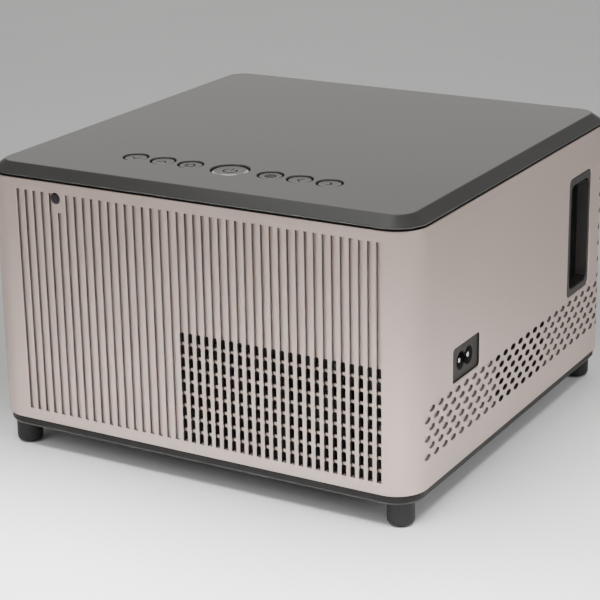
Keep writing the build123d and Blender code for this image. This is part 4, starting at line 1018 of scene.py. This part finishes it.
# %% Tray with its wells and the slanted pocket
tray_levels = [(-9.2, -0.5), (-8.8, 0.0), (-0.4, 0.0), (-0.1, -0.1), (0.0, -0.4)]
large_well = [(-2.6, -0.8), (-1.9, -0.1), (-0.3, 0.0), (0.2, 0.5)]
small_well = [(-3.6, -0.4), (-3.2, 0.0), (-2.75, 0.0), (-2.4, 0.35)]
pocket = [(-8.2, -0.3), (-7.9, 0.0), (-0.2, 0.0), (0.3, 0.5)]
tray_shape = plate_sink(on_tray, disc_x, 0.0, 123.0, 122.4, 2.0, tray_levels)
tray = piece("tray", *tray_shape, DRAWER, deep_black)
cut(tray, *round_plate(on_tray, disc_x, 0.0, 60.2, large_well, 120))
cut(tray, *round_plate(on_tray, disc_x, 0.0, 40.5, small_well, 96))
cut(tray, *plate_sink(on_slant, 23.0, 0.0, 78.0, 41.0, 3.0, pocket))
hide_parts("drawer_tray")
print("tray faces:", len(tray.data.polygons))

# %% Motor and hub
DECK = -8.2


def spun(name, profile, body, material, sides=48):
    """A piece turned about the disc's axis, heights above the pocket floor."""
    shape = turned(profile, sides, lambda u, v, h: on_slant(u, v, DECK + h))
    made = piece(name, *shape, body, material)
    return made


can_profile = [(1.06, 0.0), (9.95, 0.0), (9.95, 0.5), (9.6, 0.7), (9.6, 2.5), (9.3, 2.9),
               (8.9, 3.0), (3.2, 3.0), (3.0, 2.8), (1.06, 2.8)]
motor = spun("motor_can", can_profile, DRAWER, bright_steel)
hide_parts("spindle_motor")
table_profile = [(0.02, 0.3), (1.0, 0.3), (1.0, 3.3), (6.0, 3.3), (6.0, 4.4), (12.3, 4.4),
                 (12.5, 4.6), (12.5, 5.9), (12.2, 6.15), (9.0, 6.2), (7.35, 6.2), (7.35, 7.2),
                 (6.9, 7.8), (6.2, 8.0), (3.0, 8.0), (2.6, 7.5), (0.02, 7.5)]
hub = spun("hub_table", table_profile, "spindle_hub", deep_black)
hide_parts("spindle_hub")
pad_profile = [(9.6, 6.1), (12.0, 6.1), (11.8, 6.3), (9.8, 6.3)]
spun("hub_rubber_pad", pad_profile, "spindle_hub", foot_rubber)
claw_count, claw_radius = 3, 7.0
claws = []
for n in range(claw_count):
    turned_by = 2 * math.pi * n / claw_count

    def at_claw(u, v, out, turned_by=turned_by):
        radial, side = claw_radius + v, u
        return on_slant(radial * math.cos(turned_by) - side * math.sin(turned_by),
                        radial * math.sin(turned_by) + side * math.cos(turned_by), DECK + out)

    claws.append(plate_sink(at_claw, 0.0, 0.0, 2.6, 0.9, 0.2,
                            [(6.0, 0.0), (7.3, 0.0), (7.6, -0.2)], 2))
claw = piece("hub_claws", *joined(claws), "spindle_hub", bright_steel)
print("hub claws:", len(claws))

# %% Guide rods and feed motor
ROD_LIFT = 2.6
rod_places, screw_place = (13.0, -17.2), -13.0


def along_rod(place):
    """Turned pieces along the sled's direction, at a place across it."""
    return lambda u, v, h: on_slant(h, place + u, DECK + ROD_LIFT + v)


rod_profile = [(0.02, -17.5), (1.1, -17.5), (1.25, -17.3), (1.25, 63.3), (1.1, 63.5),
               (0.02, 63.5)]
rods = [turned(rod_profile, 24, along_rod(place)) for place in rod_places]
guide = piece("sled_rods", *joined(rods), DRAWER, bright_steel)
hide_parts("guide_rods")
feed_profile = [(0.8, -16.0), (2.4, -16.0), (2.5, -15.8), (2.5, -8.3), (2.3, -8.0), (1.2, -8.0),
                (1.2, -7.75), (0.8, -7.75)]
feed_shape = turned(feed_profile, 32, along_rod(screw_place))
feed = piece("feed_motor_can", *feed_shape, DRAWER, bright_steel)
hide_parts("feed_motor")
print("rods:", len(rods))

# %% Lead screw with a real helical groove
pitch, screw_start, screw_end, thread_sides, level_height = 3.0, -7.7, 63.4, 20, 0.5
crest, groove_depth = 1.5, 0.45
levels = int((screw_end - screw_start) / level_height)
screw_points, screw_faces = [], []
place_on = along_rod(screw_place)
for level in range(levels + 1):
    h = screw_start + (screw_end - screw_start) * level / levels
    for n in range(thread_sides):
        phase = (h / pitch - n / thread_sides) % 1.0
        radius = crest - groove_depth * max(0.0, 1.0 - abs(phase - 0.5) * 4.0)
        angle = 2 * math.pi * n / thread_sides
        screw_points.append(place_on(radius * math.cos(angle), radius * math.sin(angle), h))
for level in range(levels):
    for n in range(thread_sides):
        m = (n + 1) % thread_sides
        low, high = level * thread_sides, (level + 1) * thread_sides
        screw_faces.append((low + n, low + m, high + m, high + n))
last = levels * thread_sides
screw_faces += [tuple(range(thread_sides)), tuple(range(last, last + thread_sides))]
shaft = turned([(0.02, -12.0), (0.75, -12.0), (0.75, -7.6), (0.02, -7.6)], 16, place_on)
thread_shape = joined([(screw_points, screw_faces), shaft])
lead = piece("lead_thread", *thread_shape, "lead_screw", bright_steel, 50.0)
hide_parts("lead_screw")
print("thread points:", len(screw_points))

# %% Pickup sled with its small lens
SLED = "pickup_sled"
sled_middle = -1.95


def above_deck(*levels):
    """Levels counted from the pocket's floor."""
    return [(DECK + out, grow) for out, grow in levels]


sled_levels = above_deck((0.8, -0.2), (1.0, 0.0), (4.4, 0.0), (4.7, -0.3), (4.8, -0.6))
sled_shape = plate_sink(on_slant, 21.0, sled_middle, 14.0, 34.9, 1.4, sled_levels, 4)
sled = piece("sled_casting", *sled_shape, SLED, dull_alloy)
bore_profile = [(0.001, 12.0), (1.32, 12.0), (1.32, 30.0), (0.001, 30.0)]
for place in (*rod_places, screw_place):
    cut(sled, *turned(bore_profile, 24, along_rod(place)))
cut(sled, *plate_sink(on_slant, 21.5, 0.0, 10.0, 13.0, 1.0,
                      above_deck((4.1, 0.0), (4.6, 0.0), (5.2, 0.4)), 4))
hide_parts("pickup_sled")
print("sled faces:", len(sled.data.polygons))

# %% The sled's carrier, rim and small lens
eye_at = 24.0


def at_eye(u, v, h):
    return on_slant(eye_at + u, v, DECK + h)


carrier_levels = above_deck((3.6, 0.0), (4.75, 0.0), (4.85, -0.15))
carrier_shape = plate_sink(on_slant, eye_at - 2.0, 0.0, 7.5, 8.0, 0.8, carrier_levels, 3)
carrier = piece("eye_carrier", *carrier_shape, SLED, deep_black)
rim_profile = [(1.7, 4.5), (2.2, 4.5), (2.2, 5.2), (2.0, 5.4), (1.8, 5.35), (1.7, 5.2)]
eye_rim = piece("eye_rim", *turned(rim_profile, 32, at_eye), SLED, deep_black)
eye_profile = [(0.01, 4.6), (1.7, 4.6), (1.68, 5.0), (1.2, 5.2), (0.6, 5.3), (0.01, 5.32)]
eye = piece("eye_lens", *turned(eye_profile, 32, at_eye), SLED, lens_glass)
print("sled pieces: casting, carrier, rim and lens")

# %% [markdown]
# ## The fans behind the lattice
# Light that enters the lattice falls on the two fans. The blades of a real fan are twisted: steep
# at the hub, flatter at the tip. Each blade is a row of thin wing sections wrapped on cylinders of
# growing radius.

# %% Helpers: a blade's section, a whole impeller
FAN_MIDDLE, FAN_Z = -97.2, 46.0
BLADES, HUB_RADIUS, TIP_RADIUS, HALF_CHORD = 7, 10.45, 22.65, 5.7


def blade_section(radius, start, tilt):
    """A thin arched wing section wrapped on a cylinder, as (angle, height) along both faces."""
    spots = []
    for face_side, shares in ((1, (-1.0, -0.5, 0.0, 0.5)), (-1, (1.0, 0.5, 0.0, -0.5))):
        for share in shares:
            along = HALF_CHORD * share
            lift = (1.0 + face_side * 0.45) * (1 - share ** 2)
            swing = start + (along * math.cos(tilt) - lift * math.sin(tilt)) / radius
            spots.append((radius * math.cos(swing), radius * math.sin(swing),
                          along * math.sin(tilt) + lift * math.cos(tilt)))
    return spots


def impeller_shape(middle_x):
    """Hub and twisted blades about a fan's axis."""
    hub_profile = [(1.6, -5.4), (9.3, -5.5), (10.1, -5.2), (HUB_RADIUS, -4.4),
                   (HUB_RADIUS, 5.4), (10.1, 5.5), (1.6, 5.5)]
    solid = [turned(hub_profile, 48, lambda u, v, h: (middle_x + u, FAN_MIDDLE + h, FAN_Z + v))]
    sections, root_depth = 8, 0.6
    for blade in range(BLADES):
        rings = []
        for number in range(sections):
            share = number / (sections - 1)
            radius = HUB_RADIUS - root_depth + (TIP_RADIUS - HUB_RADIUS + root_depth) * share
            start = 2 * math.pi * blade / BLADES + 0.15 * share
            section = blade_section(radius, start, math.radians(50.0 - 20.0 * share))
            rings.append([(middle_x + u, FAN_MIDDLE + h, FAN_Z + v) for u, v, h in section])
        solid.append(stacked(rings))
    return joined(solid)


print("impeller points:", len(impeller_shape(0.0)[0]))

# %% The two impellers
for side, fan_x in (("left", 19.7), ("right", 69.9)):
    blades = piece(side + "_fan_blades", *impeller_shape(fan_x), side + "_impeller", deep_black)
    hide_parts(side + "_impeller")
print("fans: 2, blades each:", BLADES)

# %% [markdown]
# ## Light and floor
# The photograph has soft, even light. A dim pale surround fills the shadows. One big soft box
# lights the rear from the camera's left and one lights the right side. The lid is glossy, so what
# it mirrors sets its tone: a large panel stands in the mirror direction, beyond the case. The
# walls mirror the floor near them, so three small lamps with a narrow spread brighten the floor
# there, and the walls get lighter towards their lower edge. The floor is a plain pale sheet.

# %% Surround and the two big soft boxes
world = bpy.data.worlds.new("studio")
world.use_nodes = True
world.node_tree.nodes["Background"].inputs["Color"].default_value = (0.80, 0.80, 0.80, 1.0)
world.node_tree.nodes["Background"].inputs["Strength"].default_value = 0.34
bpy.context.scene.world = world


def soft_box(name, spot, aim, size, power):
    """A square area light at a spot, turned to its aim."""
    light = bpy.data.lights.new(name, "AREA")
    light.size = size
    light.energy = power
    obj = bpy.data.objects.new(name, light)
    obj.location = spot
    obj.rotation_euler = (Vector(aim) - Vector(spot)).to_track_quat("-Z", "Y").to_euler()
    bpy.context.scene.collection.objects.link(obj)
    return obj


case_middle = (0, 0, 0.07)
soft_box("key_light", (-0.35, -1.2, 0.9), case_middle, 0.9, 9.0)
soft_box("side_light", (1.3, -0.1, 0.7), case_middle, 0.8, 8.8)
print("soft boxes:", len(bpy.data.lights))

# %% Low lamps over the floor beside the case
strip_height, strip_spread = 0.28, math.radians(62.0)
low_strips = {"corner_strip": ((0.19, -0.20), 0.12, 0.12, 0.36),
              "rear_strip": ((-0.01, -0.225), 0.26, 0.08, 0.70),
              "right_strip": ((0.225, -0.01), 0.08, 0.26, 0.30)}
for name, ((x, y), long, deep, power) in low_strips.items():
    strip = soft_box(name, (x, y, strip_height), (x, y, 0.0), long, power)
    strip.data.shape = "RECTANGLE"
    strip.data.size_y = deep
    strip.data.spread = strip_spread
    strip.rotation_euler = (0.0, 0.0, 0.0)
print("low lamps:", len(low_strips))

# %% What the lid mirrors: a lamp above the far left and a warm panel beyond the case
top_light = soft_box("top_light", (-0.364, 0.269, 1.4), (-0.364, 0.269, 0), 0.8, 3.4)
top_light.rotation_euler = (0.0, 0.0, math.radians(-24.4))
lid_panel = soft_box("lid_panel", (-0.95, 1.64, 0.78), (0, 0, 0.136), 1.8, 6.0)
lid_panel.data.color = (1.0, 0.97, 0.92)
print("lights in all:", len(bpy.data.lights))

# %% Floor
floor_paint = finish("studio_floor", ((0.72, 0.72, 0.72), (0.74, 0.74, 0.74)), (0.75, 0.85),
                     bump=0.0)
far, low = 4000, -0.4
floor_points = [(-far, -far, low), (far, -far, low), (far, far, low), (-far, far, low)]
floor = piece("floor", floor_points, [(0, 1, 2, 3)], None, floor_paint)
print("floor:", 2 * far, "mm wide")
